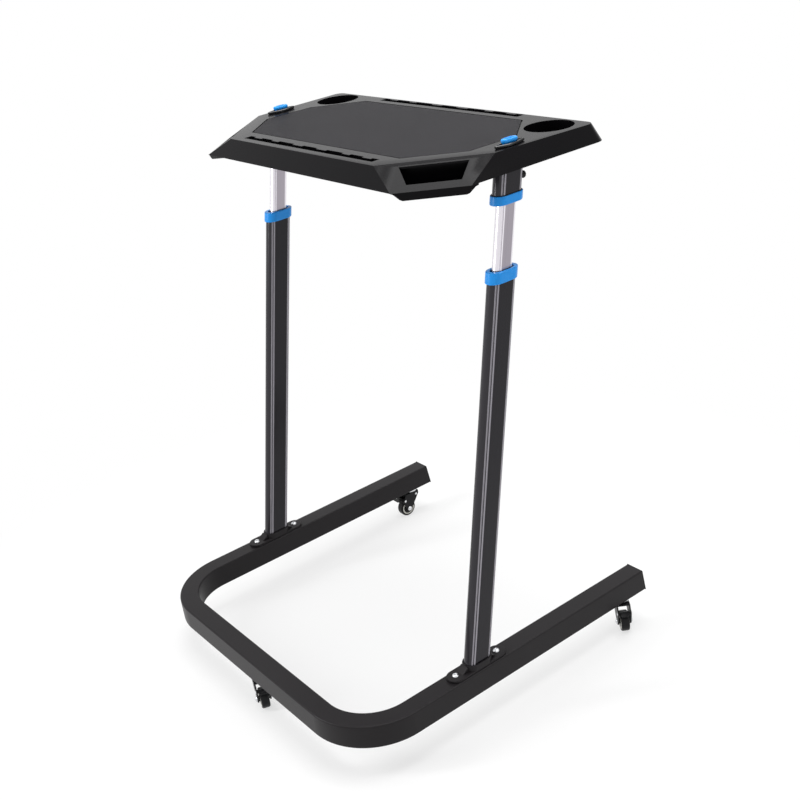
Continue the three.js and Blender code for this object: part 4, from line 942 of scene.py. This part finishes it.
# Latch bezels: boat-shaped gloss black frames, snapped into the table beside the
# mat. From each end of the tab a ramp runs up inside the frame to its tip.
BEZEL_EDGE = 0.0006
BEZEL_INSET = 0.0032
BEZEL_FLOOR = 0.0014
BOAT_SHOULDER_SHARE, BOAT_TIP_SHARE = 0.3, 0.16
RAMP_GAP = 0.0006
GLOSS = plastic(
    "gloss_black_plastic", (0.006, 0.006, 0.0068), (0.009, 0.009, 0.01), roughness=0.1,
    shine=0.6,
)


def ramp(end, half, near, floor, top):
    """A wedge in one end of a bezel's pocket, which rises to the tip."""
    broad = (1 - near / half.y) / (1 - BOAT_SHOULDER_SHARE)
    bm = bmesh.new()
    bmesh.ops.create_cube(bm, size=2)
    for v in bm.verts:
        y, share, crest = near, broad, floor + RAMP_GAP
        if v.co.y > 0:
            y, share, crest = half.y, 0, top
        wide = half.x * (BOAT_TIP_SHARE + (1 - BOAT_TIP_SHARE) * share)
        v.co = Vector((v.co.x * wide, end * (y - RAMP_GAP), crest if v.co.z > 0 else floor))
    bmesh.ops.recalc_face_normals(bm, faces=bm.faces)
    return bm


for name in SIDES:
    node = name + "_latch_bezel"
    low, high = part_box(node)
    middle, size = (low + high) / 2, high - low
    half = Vector((size.x / 2 - BEZEL_INSET, size.y / 2 - BEZEL_INSET, 0))
    tab_low, tab_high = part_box(name + "_latch_tab")
    near = (tab_high.y - tab_low.y) / 2 + 2 * RAMP_GAP
    floor, top = low.z + BEZEL_FLOOR - middle.z, high.z - middle.z - RAMP_GAP
    ramps = together(*[ramp(end, half, near, floor, top) for end in (-1, 1)])
    shell = soften(solid_of(node), BEZEL_EDGE)
    both = together(shell, moved(ramps, Matrix.Translation(middle)))
    keep(name + "_latch_frame", both, GLOSS, node)

# Latch tabs: rounded blue pulls on the release rods. Raised ribs across the crown
# give the fingertips a grip.
TAB_EDGE = 0.0028
TAB_STEM = 0.0026
TAB_RIBS = 5
TAB_RIB_PITCH = 0.0034
TAB_RIB = 0.0009


def tab(name):
    node = name + "_latch_tab"
    low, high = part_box(node)
    size = high - low
    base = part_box(name + "_latch_bezel")[1].z + FIT_GAP
    stretch = (size.y - size.x) / 2
    height = high.z - base - TAB_RIB
    crown = bmesh.new()
    ring(crown, size.x / 2, stretch, 0, cap_ends=True)
    soften(raised(crown, height), TAB_EDGE, segments=5, over=RIM_ANGLE)
    stem = bmesh.new()
    ring(stem, size.x / 2 - TAB_STEM, stretch, low.z - base, cap_ends=True)
    raised(stem, base - low.z + TAB_EDGE)
    rib_size = (size.x - 2 * TAB_EDGE, TAB_RIB_PITCH / 2, 2 * TAB_RIB)
    rib_rows = [(i - (TAB_RIBS - 1) / 2) * TAB_RIB_PITCH for i in range(TAB_RIBS)]
    ribs = [soften(block((0, y, height), rib_size), TAB_RIB / 2) for y in rib_rows]
    return moved(together(crown, stem, *ribs), seat_on(node, base))


for name in SIDES:
    keep(name + "_pull_tab", tab(name), BLUE, name + "_latch_tab")

# Casters: a plated stem in the base, a black fork that swivels on it, a wheel with
# a pale ring in each face, an axle bolt with domed nuts, and a brake pedal.
WHEEL_STEPS = 72
WHEEL_EDGE = 0.0035
WHEEL_WIDTH = 0.018
RING_OUT, RING_IN = 0.0172, 0.0138
RING_DEPTH, RING_GAP, RING_EDGE = 0.0014, 0.00014, 0.00035
HUB_RADIUS = 0.006
AXLE_RADIUS, AXLE_BORE = 0.003, 0.0034
NUT_RADIUS, NUT_LENGTH = 0.006, 0.0035
RIVET_RADIUS, RIVET_DOME = 0.0032, 0.0014
RIVET_BACK, RIVET_DOWN = 0.00768, 0.00832
STEM_NUT_RADIUS, STEM_NUT_HEIGHT = 0.008, 0.0025
STEM_NECK_RADIUS, STEM_PIN_RADIUS = 0.005, 0.004
STEM_RACE_RADIUS, STEM_FLANGE_HEIGHT, STEM_EDGE = 0.012, 0.004, 0.0006
CASTER_EDGE = 0.0007


def caster_frame(name):
    """A caster's own axes: Z up its swivel, and X along its axle."""
    x, y = JOINTS[name + "_caster_swivel"]["pos_m"][:2]
    along = JOINTS[name + "_wheel_spin"]["axis"]
    turn = Matrix.Rotation(math.atan2(along[1], along[0]), 4, "Z")
    return Matrix.Translation((x, y, 0)) @ turn


def tread(outer, hub_half):
    """The rubber of a wheel about Z, with a recess in each face for the ring."""
    half = WHEEL_WIDTH / 2
    shoulder = [
        (outer - WHEEL_EDGE + out, half - WHEEL_EDGE + up)
        for out, up in quarter(WHEEL_EDGE, WHEEL_EDGE)
    ]
    side = [
        *shoulder, (outer - WHEEL_EDGE, half), (RING_OUT, half), (RING_OUT, half - RING_DEPTH),
        (RING_IN, half - RING_DEPTH), (RING_IN, half - RING_DEPTH / 2),
        (HUB_RADIUS, half - RING_DEPTH / 2), (HUB_RADIUS, hub_half), (AXLE_BORE, hub_half),
    ]
    mirror = [(radius, -height) for radius, height in reversed(side)]
    return turned([*mirror, *side], WHEEL_STEPS)


def pale_ring(sign):
    """The ring in one face of a wheel about Z."""
    top = WHEEL_WIDTH / 2 + RING_GAP
    bottom = top - RING_DEPTH
    near, far = RING_IN + RING_GAP, RING_OUT - RING_GAP
    points = [
        (near, bottom), (far, bottom), (far, top - RING_EDGE), (far - RING_EDGE, top),
        (near + RING_EDGE, top), (near, top - RING_EDGE),
    ]
    return sealed(moved(turned(points, WHEEL_STEPS), Matrix.Diagonal((1, 1, sign, 1))))


def stud(half):
    """An axle bolt about Z with a domed nut on each end."""
    nut = [(radius, half + height) for radius, height in quarter(NUT_RADIUS, NUT_LENGTH)]
    side = [(AXLE_RADIUS, half), *nut, (0, half + NUT_LENGTH)]
    return turned([(radius, -height) for radius, height in reversed(side)] + side)


def rivet(place, sign):
    """A domed rivet head on a cheek of the fork, which faces along X."""
    crown = quarter(RIVET_RADIUS, RIVET_DOME)
    sunk = [(0, -CASTER_EDGE), (RIVET_RADIUS, -CASTER_EDGE)]
    head = turned([*sunk, *crown, (0, RIVET_DOME)])
    return moved(head, Matrix.Translation(place) @ Matrix.Rotation(sign * math.pi / 2, 4, "Y"))


def stem(name):
    """A pin about Z with a nut at its foot, and a race that carries the fork."""
    low, high = span(name + "_caster_stem", caster_frame(name))
    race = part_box(name + "_caster_fork")[1].z + FIT_GAP
    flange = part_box("base_frame")[0].z - FIT_GAP
    wide = (high.x - low.x) / 2
    nut_top = low.z + STEM_NUT_HEIGHT
    return turned([
        (0, low.z), (STEM_NUT_RADIUS, low.z), (STEM_NUT_RADIUS, nut_top),
        (STEM_NECK_RADIUS, nut_top), (STEM_NECK_RADIUS, race), (STEM_RACE_RADIUS, race),
        (wide, flange - STEM_FLANGE_HEIGHT), (wide, flange - STEM_EDGE),
        (wide - STEM_EDGE, flange), (STEM_PIN_RADIUS, flange), (STEM_PIN_RADIUS, high.z),
        (0, high.z),
    ])


RUBBER = plastic(
    "wheel_rubber", (0.009, 0.009, 0.0095), (0.014, 0.014, 0.015), roughness=0.3,
    depth=0.0001,
)
for name in ("front", "left", "right"):
    into = caster_frame(name)
    cheek, fork_back, fork_top = span(name + "_caster_fork", into)[1]
    low, high = span(name + "_caster_wheel", into)
    size, axle = high - low, Matrix.Translation((low + high) / 2)
    along = into @ axle @ Matrix.Rotation(math.pi / 2, 4, "Y")
    keep(name + "_swivel_stem", moved(stem(name), into), ZINC, name + "_caster_stem")
    node = name + "_caster_fork"
    keep(name + "_fork", soften(solid_of(node), CASTER_EDGE), BLACK, node)
    bolt = moved(stud(cheek + FIT_GAP), along)
    keep(name + "_axle_bolt", bolt, ZINC, name + "_caster_axle")
    wheel = moved(tread(size.z / 2, size.x / 2), along)
    keep(name + "_wheel_tread", wheel, RUBBER, name + "_caster_wheel")
    rings = moved(together(pale_ring(1), pale_ring(-1)), along)
    keep(name + "_wheel_rings", rings, NYLON, body=name + "_wheel", slot="nylon")
    node = name + "_brake_pedal"
    keep(name + "_pedal", soften(solid_of(node), CASTER_EDGE), BLACK, node)
    pin = into.inverted() @ Vector(JOINTS[name + "_brake_press"]["pos_m"])
    front = Vector((0, fork_back - RIVET_BACK, fork_top - RIVET_DOWN))
    rivets = together(*[
        rivet((sign * cheek, place.y, place.z), sign)
        for sign in (-1, 1) for place in (pin, front)
    ])
    keep(name + "_fork_rivets", moved(rivets, into), ZINC, body=name + "_swivel", slot="zinc")
